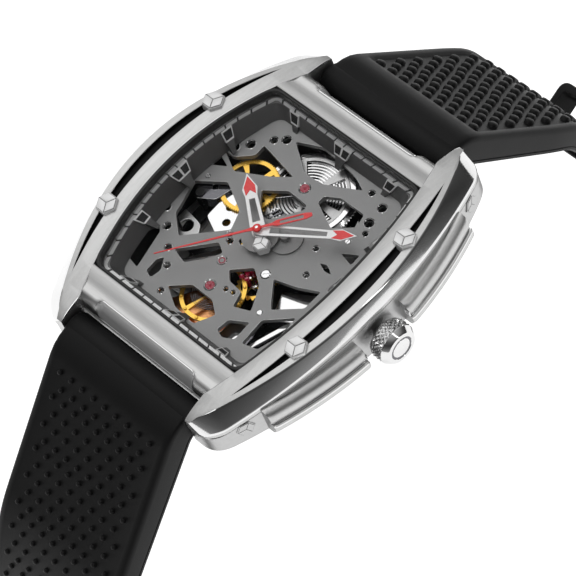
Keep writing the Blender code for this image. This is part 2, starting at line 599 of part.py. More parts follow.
def winding_rotor(mats):
    """The half-disc weight on its ball bearing."""
    turns = [radians(a) for a in range(180, 361, 9)]
    outline = [(13.3 * cos(t), 13.3 * sin(t)) for t in turns]
    outline += [(3.4, -0.9), (2.2, 2.0), (0.0, 2.9), (-2.2, 2.0), (-3.4, -0.9)]
    windows = [flat_circle((0, 0), 1.75, 20)]
    windows += [sector((0, 0), 4.2, 10.2, a, a + 44, 6) for a in (200, 248, 296)]
    rotor = add_object("rotor", pierced_plate(outline, windows, 1.5, 1.85), mats["brushed"], (0, 0, 1.6))
    rim = sector((0, 0), 10.9, 13.28, 184, 356, 24)
    weight = add_object("rotor_weight", pierced_plate(rim, [], 1.6, 2.3), None)
    boolean(rotor, weight, "UNION")
    hub = [(1.69, 1.45), (1.69, 2.0), (0.9, 2.0), (0.9, 2.54), (0.3, 2.54), (0.3, 1.45)]
    add_object("rotor_bearing", turned(hub, count=24, closed=True), mats["polished"])


# ---------------------------------------------------------------- hands

def pointing(angle, outline, centre=(0, 0)):
    """Turns an outline drawn along +Y to a bearing in degrees clockwise."""
    t = radians(-angle)
    return [(centre[0] + x * cos(t) - y * sin(t), centre[1] + x * sin(t) + y * cos(t)) for x, y in outline]


def hands(mats):
    """Hour, minute and seconds hands with their pipes, and the motion work under them."""
    hour = [(1.15, -0.4), (1.2, -1.3), (1.1, -2.3), (0.0, -2.9), (-1.1, -2.3), (-1.2, -1.3), (-1.15, -0.4),
            (-1.1, 0.7), (-0.8, 5.2), (-0.95, 7.2), (0, 8.9), (0.95, 7.2), (0.8, 5.2), (1.1, 0.7)]
    hour_slot = [(0.38, 2.0), (0.3, 5.0), (-0.3, 5.0), (-0.38, 2.0)]
    hand("hour_hand", mats["polished"], HOUR_ANGLE, hour, [hour_slot], 8.95, 9.15, 0.72,
         [(0.85, 8.1), (0.85, 9.18), (0.72, 9.18), (0.72, 8.1)])
    minute = [(0.85, -0.5), (0.0, -1.1), (-0.85, -0.5), (-0.9, 0.5), (-0.7, 9.0), (-0.9, 11.0), (0, 12.8),
              (0.9, 11.0), (0.7, 9.0), (0.9, 0.5)]
    minute_slot = [(0.34, 2.2), (0.28, 8.6), (-0.28, 8.6), (-0.34, 2.2)]
    hand("minute_hand", mats["polished"], MINUTE_ANGLE, minute, [minute_slot], 9.4, 9.58, 0.42,
         [(0.62, 7.45), (0.62, 9.6), (0.42, 9.6), (0.42, 7.45)])
    seconds = [(0.2, -0.9), (0.42, -2.2), (0.42, -6.2), (0, -7.0), (-0.42, -6.2), (-0.42, -2.2), (-0.2, -0.9),
               (-0.4, 0), (-0.16, 1.2), (-0.1, 13.1), (0.1, 13.1), (0.16, 1.2), (0.4, 0)]
    blade = [(0.2, -2.6), (0.2, -5.9), (-0.2, -5.9), (-0.2, -2.6)]
    hand("seconds_hand", mats["red"], SECOND_ANGLE, seconds, [blade], 9.85, 9.97, 0.0,
         [(0.5, 9.83), (0.5, 10.12)])

    cannon = [(0.76, 7.45), (0.76, 7.78), (0.65, 7.78), (0.65, 7.45)]
    hour_wheel = [(2.42, 8.06), (2.42, 8.22), (0.89, 8.22), (0.89, 8.06)]
    add_object("hour_wheel", turned(hour_wheel, count=32, closed=True), mats["gold"], (0, 0, 8.1))
    add_object("cannon_pinion", turned(cannon, count=20, closed=True), mats["polished"], (0, 0, 7.6))
    minute_work = [(2.25, 7.45), (2.25, 7.6), (0.61, 7.62), (0.61, 8.3)]
    add_object("minute_wheel", turned(minute_work, MINUTE_WHEEL, 28), mats["gold"], (*MINUTE_WHEEL, 7.6))


def hand(name, finish, angle, outline, slots, low, high, bore, pipe):
    """A flat hand with its pipe; bore is the radius of its hole, 0 for none."""
    holes = [pointing(angle, slot) for slot in slots]
    if bore:
        holes.append(flat_circle((0, 0), bore + FIT, 16))
    body = add_object(name, pierced_plate(pointing(angle, outline), holes, low, high), finish, (0, 0, low))
    sleeve = turned(pipe, count=16, closed=bool(bore))
    boolean(body, add_object(f"{name}_pipe", sleeve, None), "UNION")
    return body


# ---------------------------------------------------------------- strap

def strap_path(side, stretches, step=2.4):
    """Points and headings down a strap half from its spring bar, as (y, z, heading) with heading below level."""
    y, z, heading = side * BAR_Y, BAR_Z, STRAP_START_TURN
    points = [(y, z, heading)]
    for length, turn in stretches:
        count = max(1, round(length / step))
        for _ in range(count):
            heading += turn / count / 2
            y += side * cos(radians(heading)) * length / count
            z -= sin(radians(heading)) * length / count
            heading += turn / count / 2
            points.append((y, z, heading))
    return points


def strap_section(point, side, width, thickness):
    """A rounded rectangle across the strap at one point of its path."""
    y, z, heading = point
    out = (side * sin(radians(heading)), cos(radians(heading)))  # from the wrist side to the outer side
    half, deep = width / 2, thickness / 2
    edge = min(0.6, deep * 0.5)
    corners = [(-half, deep - edge), (-half + edge, deep), (half - edge, deep), (half, deep - edge),
               (half, -deep + edge), (half - edge, -deep), (-half + edge, -deep), (-half, -deep + edge)]
    return [(x, y + t * out[0], z + t * out[1]) for x, t in corners]


def hole_across(point, side, radius, reach):
    """A round cutter square to the strap at one point of its path."""
    y, z, heading = point
    along = (side * cos(radians(heading)), -sin(radians(heading)))
    out = (side * sin(radians(heading)), cos(radians(heading)))
    loops = []
    for lift in (-reach, reach):
        centre = (y + lift * out[0], z + lift * out[1])
        ring = circle(radius, 0, (0, 0), 14)
        loops.append([(x, centre[0] + s * along[0], centre[1] + s * along[1]) for x, s, _ in ring])
    return loft(loops)


def strap_half(name, finish, side, stretches, tip):
    """A strap half; tip is how much its last stations narrow, for a rounded end."""
    path = strap_path(side, stretches)
    loops = []
    for i, point in enumerate(path):
        t = i / (len(path) - 1)
        narrowed = min(1, max(0, (t - STRAP_TAPER[0]) / (STRAP_TAPER[1] - STRAP_TAPER[0])))
        width = STRAP_WIDTH[0] + (STRAP_WIDTH[1] - STRAP_WIDTH[0]) * narrowed
        thinned = min(1, t / STRAP_THIN_FROM)
        thickness = STRAP_THICKNESS[0] + (STRAP_THICKNESS[1] - STRAP_THICKNESS[0]) * thinned
        left = len(path) - 1 - i
        width -= tip[left] if left < len(tip) else 0
        loops.append(strap_section(point, side, width, thickness))
    body = add_object(name, loft(loops), finish, (0, side * BAR_Y, BAR_Z))
    heel = turned_along_x([(2.25, -10.98), (2.25, 10.98)], side * BAR_Y, BAR_Z, 28)
    boolean(body, add_object(f"{name}_heel", heel, None), "UNION")
    bore = turned_along_x([(0.95, -12), (0.95, 12)], side * BAR_Y, BAR_Z, 16)
    boolean(body, add_object(f"{name}_bore", bore, None))
    return body, path


def upper_strap(mats):
    """The 12 o'clock half with the buckle's loop at its end, and what it carries."""
    body, path = strap_half("strap_upper", mats["rubber"], 1, UPPER_STRETCHES, ())
    y, z, _ = path[-1]
    eye = turned_along_x([(1.75, -9.15), (1.75, 9.15)], y, z, 24)
    boolean(body, add_object("strap_eye", eye, None), "UNION")
    hole = turned_along_x([(0.75, -12), (0.75, 12)], y, z, 14)
    boolean(body, add_object("strap_eye_bore", hole, None))
    gap = box((-1.7, y - 3.5, z - 3), (1.7, y + 3, z + 3.6))
    boolean(body, add_object("tang_gap", gap, None))
    buckle(mats, y, z)
    for name, back in (("fixed_keeper", 9.0), ("free_keeper", 24.0)):
        keeper(name, mats["rubber"], path[-1], back)
    spring_bars(mats["polished"])


def spring_bars(finish):
    """The bars that hold the strap halves between the lugs."""
    profile = [(0.4, -13.2), (0.4, -10.9), (0.78, -10.9), (0.78, 10.9), (0.4, 10.9), (0.4, 13.2)]
    for name, side in (("spring_bar_upper", 1), ("spring_bar_lower", -1)):
        bar = turned_along_x(profile, side * BAR_Y, BAR_Z, 16)
        add_object(name, bar, finish, (0, side * BAR_Y, BAR_Z))


def buckle(mats, y, z):
    """The pin buckle lying flat beyond the strap's end: frame, bar and tang."""
    low, high = z - 1.75, z + 0.05
    outline = [(-11.2, y - 1.6), (-9.35, y - 1.6), (-9.35, y + 7.2), (9.35, y + 7.2), (9.35, y - 1.6),
               (11.2, y - 1.6), (11.2, y + 8.2), (9.6, y + 9.9), (-9.6, y + 9.9), (-11.2, y + 8.2)]
    frame = pierced_plate(outline, [], low, high + 1.0)
    frame = add_object("buckle_frame", frame, mats["brushed"], (0, y, z))
    thin = box((-12, y + 2.2, high), (12, y + 12, high + 3))
    boolean(frame, add_object("buckle_thinning", thin, None))
    hole = turned_along_x([(0.66, -12), (0.66, 12)], y, z, 14)
    boolean(frame, add_object("buckle_bar_bore", hole, None))
    bar = turned_along_x([(0.6, -11.1), (0.6, 11.1)], y, z, 14)
    add_object("buckle_bar", bar, mats["polished"], (0, y, z))
    ring = turned_along_x([(1.35, -1.2), (1.35, 1.2), (0.68, 1.2), (0.68, -1.2)], y, z, 18, closed=True)
    tang = add_object("buckle_tang", ring, mats["polished"], (0, y, z))
    rod = [(y + 1.0, z - 0.1), (y + 3.5, z + 0.5), (y + 8.0, z + 0.5), (y + 9.4, z + 0.2)]
    loops = []
    for (py, pz), half in zip(rod, (0.95, 0.85, 0.7, 0.5)):
        loops.append([(-half, py, pz), (half, py, pz), (half, py, pz + 0.7), (-half, py, pz + 0.7)])
    boolean(tang, add_object("tang_rod", loft(loops), None), "UNION")


def keeper(name, finish, end, back):
    """A band round the strap that leaves room for the other half's tail on the outer side."""
    y, z, heading = end
    along = (cos(radians(heading)), -sin(radians(heading)))
    out = (sin(radians(heading)), cos(radians(heading)))
    half, under, over = 10.8, 2.9, 5.2
    gap = 1.15
    loops = []
    for s in (back - 2.6, back + 2.6):
        centre = (y - s * along[0], z - s * along[1])
        for inset in (0.0, gap):
            ring = [(-half + inset, over - inset), (half - inset, over - inset),
                    (half - inset, -under + inset), (-half + inset, -under + inset)]
            loops.append([(x, centre[0] + t * out[0], centre[1] + t * out[1]) for x, t in ring])
    order = [loops[0], loops[2], loops[3], loops[1]]
    middle = (0, y - back * along[0], z - back * along[1])
    return add_object(name, loft(order, closed=True), finish, middle)


def lower_strap(mats):
    """The 6 o'clock half with its row of holes."""
    side = -1
    body, path = strap_half("strap_lower", mats["rubber"], side, LOWER_STRETCHES, (7.0, 2.2))
    for back in STRAP_HOLE_STATIONS:
        hole = hole_across(path[-1 - back], side, 1.1, 4.0)
        boolean(body, add_object(f"strap_hole_{back}", hole, None))


# ---------------------------------------------------------------- assembly

def clear_scene():
    """Removes what the file opens with."""
    for old in list(bpy.data.objects):
        bpy.data.objects.remove(old, do_unlink=True)


def main():
    """Builds every piece of the watch."""
    clear_scene()
    mats = make_materials()
    case_middle(mats["brushed"])
    bezel(mats["brushed"])
    bezel_screws(mats["polished"])
    side_screws(mats["polished"])
    guard_bar("crown_guard_upper", mats["brushed"], 3.9, 17.2, 1)
    guard_bar("crown_guard_lower", mats["brushed"], -3.9, -17.2, 1)
    guard_bar("side_bar_left", mats["brushed"], -17.2, 17.2, -1, 0.35)
    crystal(mats["glass"])
    crystal_gasket(mats["gasket"])
    chapter_ring(mats["ring"])
    case_back(mats["brushed"])
    case_back_screws(mats["polished"])
    back_crystal(mats["glass"])
    crown_group(mats["polished"], mats["brushed"])
    main_plate(mats["blasted"])
    movement_ring(mats["blasted"])
    gear_train(mats)
    jewels(mats["ruby"])
    back_bridges(mats)
    winding_rotor(mats)
    hands(mats)
    upper_strap(mats)
    lower_strap(mats)


main()
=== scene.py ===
"""Looks for a tonneau skeleton wristwatch on a rubber strap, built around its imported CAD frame."""

from __future__ import annotations

import logging
import math
from collections.abc import Callable, Iterable, Sequence
from dataclasses import dataclass, field
from enum import Enum

import bmesh
import bpy
from mathutils import Matrix, Vector


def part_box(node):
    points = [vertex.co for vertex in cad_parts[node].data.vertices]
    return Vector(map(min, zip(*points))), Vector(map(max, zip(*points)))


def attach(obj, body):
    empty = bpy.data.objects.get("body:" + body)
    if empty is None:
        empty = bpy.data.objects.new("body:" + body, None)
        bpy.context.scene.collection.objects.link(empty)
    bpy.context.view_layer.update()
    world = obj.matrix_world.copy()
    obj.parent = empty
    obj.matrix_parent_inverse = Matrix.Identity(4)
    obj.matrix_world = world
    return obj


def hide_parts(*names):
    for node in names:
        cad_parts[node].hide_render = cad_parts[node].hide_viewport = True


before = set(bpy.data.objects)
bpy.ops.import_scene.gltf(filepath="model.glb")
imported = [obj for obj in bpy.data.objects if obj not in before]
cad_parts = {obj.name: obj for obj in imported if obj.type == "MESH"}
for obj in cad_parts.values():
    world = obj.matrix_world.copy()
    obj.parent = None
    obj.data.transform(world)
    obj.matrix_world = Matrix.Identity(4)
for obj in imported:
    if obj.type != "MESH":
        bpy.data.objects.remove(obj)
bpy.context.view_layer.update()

MM = 0.001
BEVEL_FROM = math.radians(40)  # edges sharper than this are bevelled
LOG = logging.getLogger("watch")

Point = tuple[float, float, float]
Flat = tuple[float, float]
Spot = tuple[float, float, float, float]  # distance down the strap, y, z, degrees below level


# ---------------------------------------------------------------- shader groups and finishes


class Graph:
    """A short way to add and join the nodes of one tree."""

    def __init__(self, tree: bpy.types.NodeTree) -> None:
        """Keeps the tree that nodes go into."""
        self.tree = tree

    def add(self, kind: str, settings: dict | None = None, **values: object) -> bpy.types.Node:
        """Adds a node.

        Args:
            kind: the node's type, such as ShaderNodeMath.
            settings: attributes of the node itself.
            **values: values of inputs by name, with _ for a space.

        Returns:
            The node.
        """
        node = self.tree.nodes.new(kind)
        for key, value in (settings or {}).items():
            setattr(node, key, value)
        for key, value in values.items():
            node.inputs[key.replace("_", " ")].default_value = value
        return node

    def join(self, start: bpy.types.NodeSocket, end: bpy.types.NodeSocket) -> None:
        """Links one socket to another."""
        self.tree.links.new(start, end)

    def spread(self, value: bpy.types.NodeSocket, low: float, high: float) -> bpy.types.NodeSocket:
        """Maps a value onto a range.

        Args:
            value: a socket whose value runs from 0 to 1.
            low: what 0 becomes.
            high: what 1 becomes.

        Returns:
            The new socket.
        """
        node = self.add("ShaderNodeMapRange", To_Min=low, To_Max=high)
        self.join(value, node.inputs["Value"])
        return node.outputs["Result"]


def new_group(name: str, inputs: Sequence[tuple[str, str, object]], outputs: Sequence[str]) -> tuple:
    """Starts a shader node group.

    Args:
        name: the group's name.
        inputs: (name, socket type, default value) of each input.
        outputs: the names of its float outputs.

    Returns:
        The group, its graph helper, its input node and its output node.
    """
    group = bpy.data.node_groups.new(name, "ShaderNodeTree")
    for label, kind, value in inputs:
        socket = group.interface.new_socket(label, in_out="INPUT", socket_type=kind)
        socket.default_value = value
    for label in outputs:
        group.interface.new_socket(label, in_out="OUTPUT", socket_type="NodeSocketFloat")
    graph = Graph(group)
    return group, graph, graph.add("NodeGroupInput"), graph.add("NodeGroupOutput")


def make_brush_lines() -> bpy.types.NodeTree:
    """Fine brushed lines: noise stretched along one direction, with a broader variation under it."""
    group, graph, source, sink = new_group(
        "brush_lines", [("Stretch", "NodeSocketVector", (60.0, 60.0, 60.0))], ["Height", "Shade"])
    place = graph.add("ShaderNodeTexCoord")
    mapping = graph.add("ShaderNodeMapping")
    graph.join(place.outputs["Object"], mapping.inputs["Vector"])
    graph.join(source.outputs["Stretch"], mapping.inputs["Scale"])
    fine = graph.add("ShaderNodeTexNoise", Scale=1.0, Detail=3.0, Roughness=0.65)
    broad = graph.add("ShaderNodeTexNoise", Scale=0.12, Detail=2.0, Roughness=0.5)
    both = graph.add("ShaderNodeMix", {"data_type": "FLOAT"}, Factor=0.4)
    for node in (fine, broad):
        graph.join(mapping.outputs["Vector"], node.inputs["Vector"])
    graph.join(fine.outputs["Fac"], both.inputs["A"])
    graph.join(broad.outputs["Fac"], both.inputs["B"])
    graph.join(fine.outputs["Fac"], sink.inputs["Height"])
    graph.join(both.outputs["Result"], sink.inputs["Shade"])
    return group


def make_blast_grain() -> bpy.types.NodeTree:
    """The fine pits of a sandblasted or moulded surface."""
    group, graph, source, sink = new_group(
        "blast_grain", [("Pits per metre", "NodeSocketFloat", 9000.0)], ["Height", "Shade"])
    place = graph.add("ShaderNodeTexCoord")
    pits = graph.add("ShaderNodeTexNoise", Detail=2.0, Roughness=0.7)
    cloud = graph.add("ShaderNodeTexNoise", Scale=260.0, Detail=3.0, Roughness=0.6)
    both = graph.add("ShaderNodeMix", {"data_type": "FLOAT"}, Factor=0.45)
    graph.join(source.outputs["Pits per metre"], pits.inputs["Scale"])
    for node in (pits, cloud):
        graph.join(place.outputs["Object"], node.inputs["Vector"])
    graph.join(pits.outputs["Fac"], both.inputs["A"])
    graph.join(cloud.outputs["Fac"], both.inputs["B"])
    graph.join(pits.outputs["Fac"], sink.inputs["Height"])
    graph.join(both.outputs["Result"], sink.inputs["Shade"])
    return group


def make_handling_marks() -> bpy.types.NodeTree:
    """Faint smears and hairlines that handling leaves on a polished surface."""
    group, graph, source, sink = new_group(
        "handling_marks", [("Size", "NodeSocketFloat", 300.0)], ["Mask"])
    place = graph.add("ShaderNodeTexCoord")
    smear = graph.add("ShaderNodeTexNoise", Detail=5.0, Roughness=0.6, Distortion=0.8)
    graph.join(source.outputs["Size"], smear.inputs["Scale"])
    graph.join(place.outputs["Object"], smear.inputs["Vector"])
    graph.join(smear.outputs["Fac"], sink.inputs["Mask"])
    return group


class Surface(Enum):
    """How a finish breaks up the light."""

    BRUSHED = "brush_lines"
    BLASTED = "blast_grain"
    POLISHED = "handling_marks"


class Grain(Enum):
    """Which way brushed lines run, as noise scales per metre along X, Y and Z."""

    ALONG_X = (350.0, 16000.0, 16000.0)
    ALONG_Y = (16000.0, 350.0, 16000.0)
    FINE_Y = (26000.0, 900.0, 26000.0)
    NONE = (300.0, 300.0, 300.0)


@dataclass(frozen=True)
class Finish:
    """One finish: its colour pair, gloss and the effect that varies them."""

    name: str
    dark: tuple[float, float, float]
    light: tuple[float, float, float]
    roughness: tuple[float, float]
    metallic: float = 1.0
    surface: Surface = Surface.POLISHED
    grain: Grain = Grain.NONE
    pits: float = 9000.0
    relief: float = 0.0  # height of the grain in millimetres
    coat: float = 0.0
    specular: float = 0.5
    slot: str = ""

    def make(self) -> bpy.types.Material:
        """Builds the material, or returns it if it is already there."""
        made = bpy.data.materials.get(f"{self.name}_finish")
        if made:
            return made
        made = bpy.data.materials.new(f"{self.name}_finish")
        made.use_nodes = True
        graph = Graph(made.node_tree)
        shader = made.node_tree.nodes["Principled BSDF"]
        shader.inputs["Metallic"].default_value = self.metallic
        shader.inputs["Coat Weight"].default_value = self.coat
        shader.inputs["Coat Roughness"].default_value = 0.05
        shader.inputs["Specular IOR Level"].default_value = self.specular
        effect = graph.add("ShaderNodeGroup", {"node_tree": bpy.data.node_groups[self.surface.value]})
        if self.surface is Surface.BRUSHED:
            effect.inputs["Stretch"].default_value = self.grain.value
        elif self.surface is Surface.BLASTED:
            effect.inputs["Pits per metre"].default_value = self.pits
        shade = effect.outputs["Mask" if self.surface is Surface.POLISHED else "Shade"]
        colour = graph.add("ShaderNodeMix", {"data_type": "RGBA"})
        colour.inputs["A"].default_value = (*self.dark, 1)
        colour.inputs["B"].default_value = (*self.light, 1)
        graph.join(shade, colour.inputs["Factor"])
        graph.join(colour.outputs["Result"], shader.inputs["Base Color"])
        graph.join(graph.spread(shade, *self.roughness), shader.inputs["Roughness"])
        if self.relief and self.surface is not Surface.POLISHED:
            bump = graph.add("ShaderNodeBump", Strength=1.0, Distance=self.relief * MM)
            graph.join(effect.outputs["Height"], bump.inputs["Height"])
            graph.join(bump.outputs["Normal"], shader.inputs["Normal"])
        return made


BRUSHED_RAIL = Finish("brushed_rail", (0.36, 0.36, 0.357), (0.74, 0.74, 0.735), (0.28, 0.46),
                      surface=Surface.BRUSHED, grain=Grain.ALONG_Y, relief=0.006, slot="brushed_steel")
BRUSHED_CROSS = Finish("brushed_cross", (0.36, 0.36, 0.357), (0.74, 0.74, 0.735), (0.28, 0.46),
                       surface=Surface.BRUSHED, grain=Grain.ALONG_X, relief=0.006, slot="brushed_steel")
# Tab over the strap: a lighter, part-diffuse copy of brushed steel, painted light in place of the dark strap
# that it would mirror.
SATIN_TAB_PAINTED_LIGHT = Finish("satin_tab_painted_light", (0.50, 0.50, 0.50), (0.68, 0.68, 0.68), (0.42, 0.55), metallic=0.4,
                   surface=Surface.BRUSHED, grain=Grain.ALONG_X, relief=0.004, slot="brushed_steel")
BRUSHED_FINE = Finish("brushed_fine", (0.36, 0.36, 0.357), (0.60, 0.60, 0.60), (0.28, 0.42),
                      surface=Surface.BRUSHED, grain=Grain.FINE_Y, relief=0.002, slot="brushed_steel")
POLISHED = Finish("polished_steel", (0.66, 0.66, 0.66), (0.78, 0.78, 0.78), (0.05, 0.14),
                  slot="polished_steel")
SEAM_GREY = Finish("seam_grey", (0.20, 0.20, 0.20), (0.32, 0.32, 0.32), (0.3, 0.45), slot="polished_steel")
# Black polish: the dark base colour on mirror steel is a painted dark reflection of the surround.
MIRROR_PAINTED_REFLECTION = Finish("black_polish_painted_reflection", (0.10, 0.10, 0.11), (0.18, 0.18, 0.19), (0.06, 0.16),
                     slot="polished_steel")
BLASTED_PLATE = Finish("blasted_plate", (0.24, 0.24, 0.24), (0.38, 0.38, 0.38), (0.42, 0.6), metallic=0.35,
                       surface=Surface.BLASTED, pits=14000.0, relief=0.006, slot="blasted_plate")
# Near-black: the dark grey movement base darkened further with painted shade, as if under the skeleton plate.
BLASTED_PAINTED_SHADE = Finish("blasted_base_painted_shade", (0.012, 0.012, 0.013), (0.035, 0.035, 0.036), (0.35, 0.55),
                      metallic=0.6, surface=Surface.BLASTED, pits=12000.0, relief=0.006, slot="blasted_plate")
RING_GREY = Finish("chapter_grey", (0.10, 0.10, 0.10), (0.20, 0.20, 0.20), (0.32, 0.5), metallic=0.55,
                   surface=Surface.BLASTED, pits=16000.0, relief=0.004, slot="grey_dial_paint")
TRACK_LIGHT = Finish("track_light", (0.60, 0.60, 0.60), (0.80, 0.80, 0.80), (0.25, 0.4), metallic=0.5,
                     surface=Surface.BLASTED, pits=16000.0, relief=0.002, slot="grey_dial_paint")
TRACK_BLACK = Finish("track_black", (0.012, 0.012, 0.013), (0.03, 0.03, 0.03), (0.3, 0.5), metallic=0.0,
                     surface=Surface.BLASTED, slot="grey_dial_paint")
GILT = Finish("gilt_brass", (0.90, 0.48, 0.06), (1.0, 0.70, 0.16), (0.2, 0.36), metallic=0.8,
              surface=Surface.BLASTED, pits=9000.0, relief=0.002, slot="gilt_brass")
COPPER = Finish("copper_alloy", (0.70, 0.30, 0.12), (0.86, 0.45, 0.22), (0.15, 0.32),
                surface=Surface.BLASTED, pits=9000.0, relief=0.002, slot="gilt_brass")
RUBY = Finish("ruby", (0.30, 0.005, 0.03), (0.62, 0.03, 0.08), (0.03, 0.12), metallic=0.0, coat=1.0,
              specular=0.9, slot="ruby")
RED = Finish("red_lacquer", (0.86, 0.01, 0.012), (1.0, 0.02, 0.02), (0.25, 0.4), metallic=0.0, coat=0.4,
             slot="red_lacquer")
HAND_WHITE = Finish("hand_silver", (0.80, 0.80, 0.80), (0.94, 0.94, 0.94), (0.25, 0.4), metallic=0.3,
                    surface=Surface.BLASTED, pits=12000.0, relief=0.001, slot="polished_steel")
GASKET = Finish("gasket_black", (0.008, 0.008, 0.008), (0.02, 0.02, 0.02), (0.35, 0.6), metallic=0.0,
                surface=Surface.BLASTED, slot="seal_rubber")
# Rail groove: brushed steel painted near-black, as painted shade in the recess.
GROOVE_PAINTED_SHADE = Finish("groove_painted_shade", (0.004, 0.004, 0.004), (0.010, 0.010, 0.010), (0.5, 0.7), metallic=0.0,
                      surface=Surface.BLASTED, specular=0.2, slot="brushed_steel")
RUBBER = Finish("strap_rubber", (0.002, 0.002, 0.0021), (0.006, 0.006, 0.0062), (0.40, 0.54), metallic=0.0,
                surface=Surface.BLASTED, pits=7000.0, relief=0.010, specular=0.18, slot="strap_rubber")


@dataclass(frozen=True)
class Sapphire:
    """Clear crystal: almost all of the light passes, and more gleams at a low angle."""

    name: str = "sapphire"
    slot: str = "sapphire"

    def make(self) -> bpy.types.Material:
        """Builds the material, or returns it if it is already there."""
        made = bpy.data.materials.get(f"{self.name}_finish")
        if made:
            return made
        made = bpy.data.materials.new(f"{self.name}_finish")
        made.use_nodes = True
        graph = Graph(made.node_tree)
        shader = made.node_tree.nodes["Principled BSDF"]
        shader.inputs["Base Color"].default_value = (0.02, 0.022, 0.024, 1)
        shader.inputs["Coat Weight"].default_value = 0.3
        group = bpy.data.node_groups[Surface.POLISHED.value]
        marks = graph.add("ShaderNodeGroup", {"node_tree": group}, Size=120.0)
        graph.join(graph.spread(marks.outputs["Mask"], 0.01, 0.04), shader.inputs["Roughness"])
        edge = graph.add("ShaderNodeLayerWeight", Blend=0.25)
        graph.join(graph.spread(edge.outputs["Facing"], 0.004, 0.07), shader.inputs["Alpha"])
        return made


SAPPHIRE = Sapphire()
AnyFinish = Finish | Sapphire


# ---------------------------------------------------------------- mesh tools


def loft(loops: Sequence[Sequence[Point]], closed: bool = False, caps: bool = True,
         ring: bool = True, materials: Sequence[int] | None = None) -> bmesh.types.BMesh:
    """Skins loops of equally many points.

    Args:
        loops: the rows of points, in millimetres.
        closed: whether the last loop joins the first.
        caps: whether open ends are filled.
        ring: whether each loop closes on itself.
        materials: the material index of each band between neighbouring points, if it varies.

    Returns:
        The mesh.
    """
    bm = bmesh.new()
    rows = [[bm.verts.new(point) for point in loop] for loop in loops]
    count = len(rows[0])
    pairs = list(zip(rows, rows[1:] + rows[:1])) if closed else list(zip(rows, rows[1:]))
    for low, high in pairs:
        for i in range(count if ring else count - 1):
            j = (i + 1) % count
            face = bm.faces.new((low[i], low[j], high[j], high[i]))
            if materials:
                face.material_index = materials[i]
    if caps and not closed and ring:
        bm.faces.new(rows[0][::-1])
        bm.faces.new(rows[-1])
    return bm


def circle(radius: float, z: float = 0.0, centre: Flat = (0, 0), count: int = 64) -> list[Point]:
    """A level circle of points."""
    turns = [2 * math.pi * i / count for i in range(count)]
    return [(centre[0] + radius * math.cos(t), centre[1] + radius * math.sin(t), z) for t in turns]


def turned(profile: Sequence[Flat], centre: Flat = (0, 0), count: int = 48,
           closed: bool = False) -> bmesh.types.BMesh:
    """A turned piece about a vertical axis; the profile is (radius, height) pairs."""
    return loft([circle(r, z, centre, count) for r, z in profile], closed)


def turned_x(profile: Sequence[Flat], y: float, z: float, count: int = 48,
             closed: bool = False) -> bmesh.types.BMesh:
    """A turned piece about an axis along X.

    Args:
        profile: (radius, x) pairs.
        y: the axis's y.
        z: the axis's height.
        count: how many flats go round it.
        closed: whether the profile's last point joins its first.

    Returns:
        The mesh.
    """
    loops = []
    for radius, x in profile:
        turns = [2 * math.pi * i / count for i in range(count)]
        loops.append([(x, y + radius * math.cos(t), z + radius * math.sin(t)) for t in turns])
    return loft(loops, closed)


def tonneau(half_width: float, end_half_width: float, half_length: float, corner: float = 1.6,
            side_steps: int = 26, corner_steps: int = 8) -> list[Flat]:
    """A tonneau outline: bowed sides, straight ends and rounded corners.

    Args:
        half_width: half the width across the middle.
        end_half_width: half the width at the ends.
        half_length: half the length.
        corner: how far from a corner its rounding starts.
        side_steps: how many pieces a quarter's side is made of.
        corner_steps: how many pieces a corner is made of.

    Returns:
        The outline, anticlockwise from +X.
    """
    bulge = half_width - end_half_width
    quarter = []
    for i in range(side_steps):
        y = (half_length - corner) * i / side_steps
        quarter.append((half_width - bulge * (y / half_length) ** 2, y))
    start = (half_width - bulge * ((half_length - corner) / half_length) ** 2, half_length - corner)
    tip = (end_half_width, half_length)
    finish = (end_half_width - corner, half_length)
    for i in range(corner_steps + 1):
        t = i / corner_steps
        blend = ((1 - t) ** 2, 2 * t * (1 - t), t ** 2)
        quarter.append(tuple(sum(w * p[k] for w, p in zip(blend, (start, tip, finish))) for k in (0, 1)))
    ends = 10
    quarter += [(finish[0] * (1 - i / ends), half_length) for i in range(1, ends)]
    left = [(-x, y) for x, y in reversed(quarter)]
    low_left = [(-x, -y) for x, y in quarter[1:]]
    low_right = [(x, -y) for x, y in reversed(quarter[1:])]
    return quarter + left + low_left + low_right


def lifted(outline: Iterable[Flat], height: float, camber: float = 0.0) -> list[Point]:
    """Lifts an outline to a height that falls off with y squared."""
    return [(x, y, height - camber * y * y) for x, y in outline]


def pierced(outline: Sequence[Flat], holes: Sequence[Sequence[Flat]], low: float,
            high: float) -> bmesh.types.BMesh:
    """A flat plate with holes right through.

    Args:
        outline: the plate's outline.
        holes: the outlines of its holes, which keep clear of each other.
        low: the height of its underside.
        high: the height of its top.

    Returns:
        The mesh.
    """
    bm = bmesh.new()
    for points in [outline, *holes]:
        ring = [bm.verts.new((p[0], p[1], low)) for p in points]
        for i, vertex in enumerate(ring):
            bm.edges.new((vertex, ring[(i + 1) % len(ring)]))
    bmesh.ops.triangle_fill(bm, use_beauty=True, edges=bm.edges[:])
    bmesh.ops.dissolve_limit(bm, angle_limit=0.01, verts=bm.verts[:], edges=bm.edges[:], delimit=set())
    raised = bmesh.ops.extrude_face_region(bm, geom=bm.faces[:])["geom"]
    for item in raised:
        if isinstance(item, bmesh.types.BMVert):
            item.co.z = high
    return bm


def disc_points(centre: Flat, radius: float, count: int = 24) -> list[Flat]:
    """A circle as flat points."""
    return [(x, y) for x, y, _ in circle(radius, 0, centre, count)]


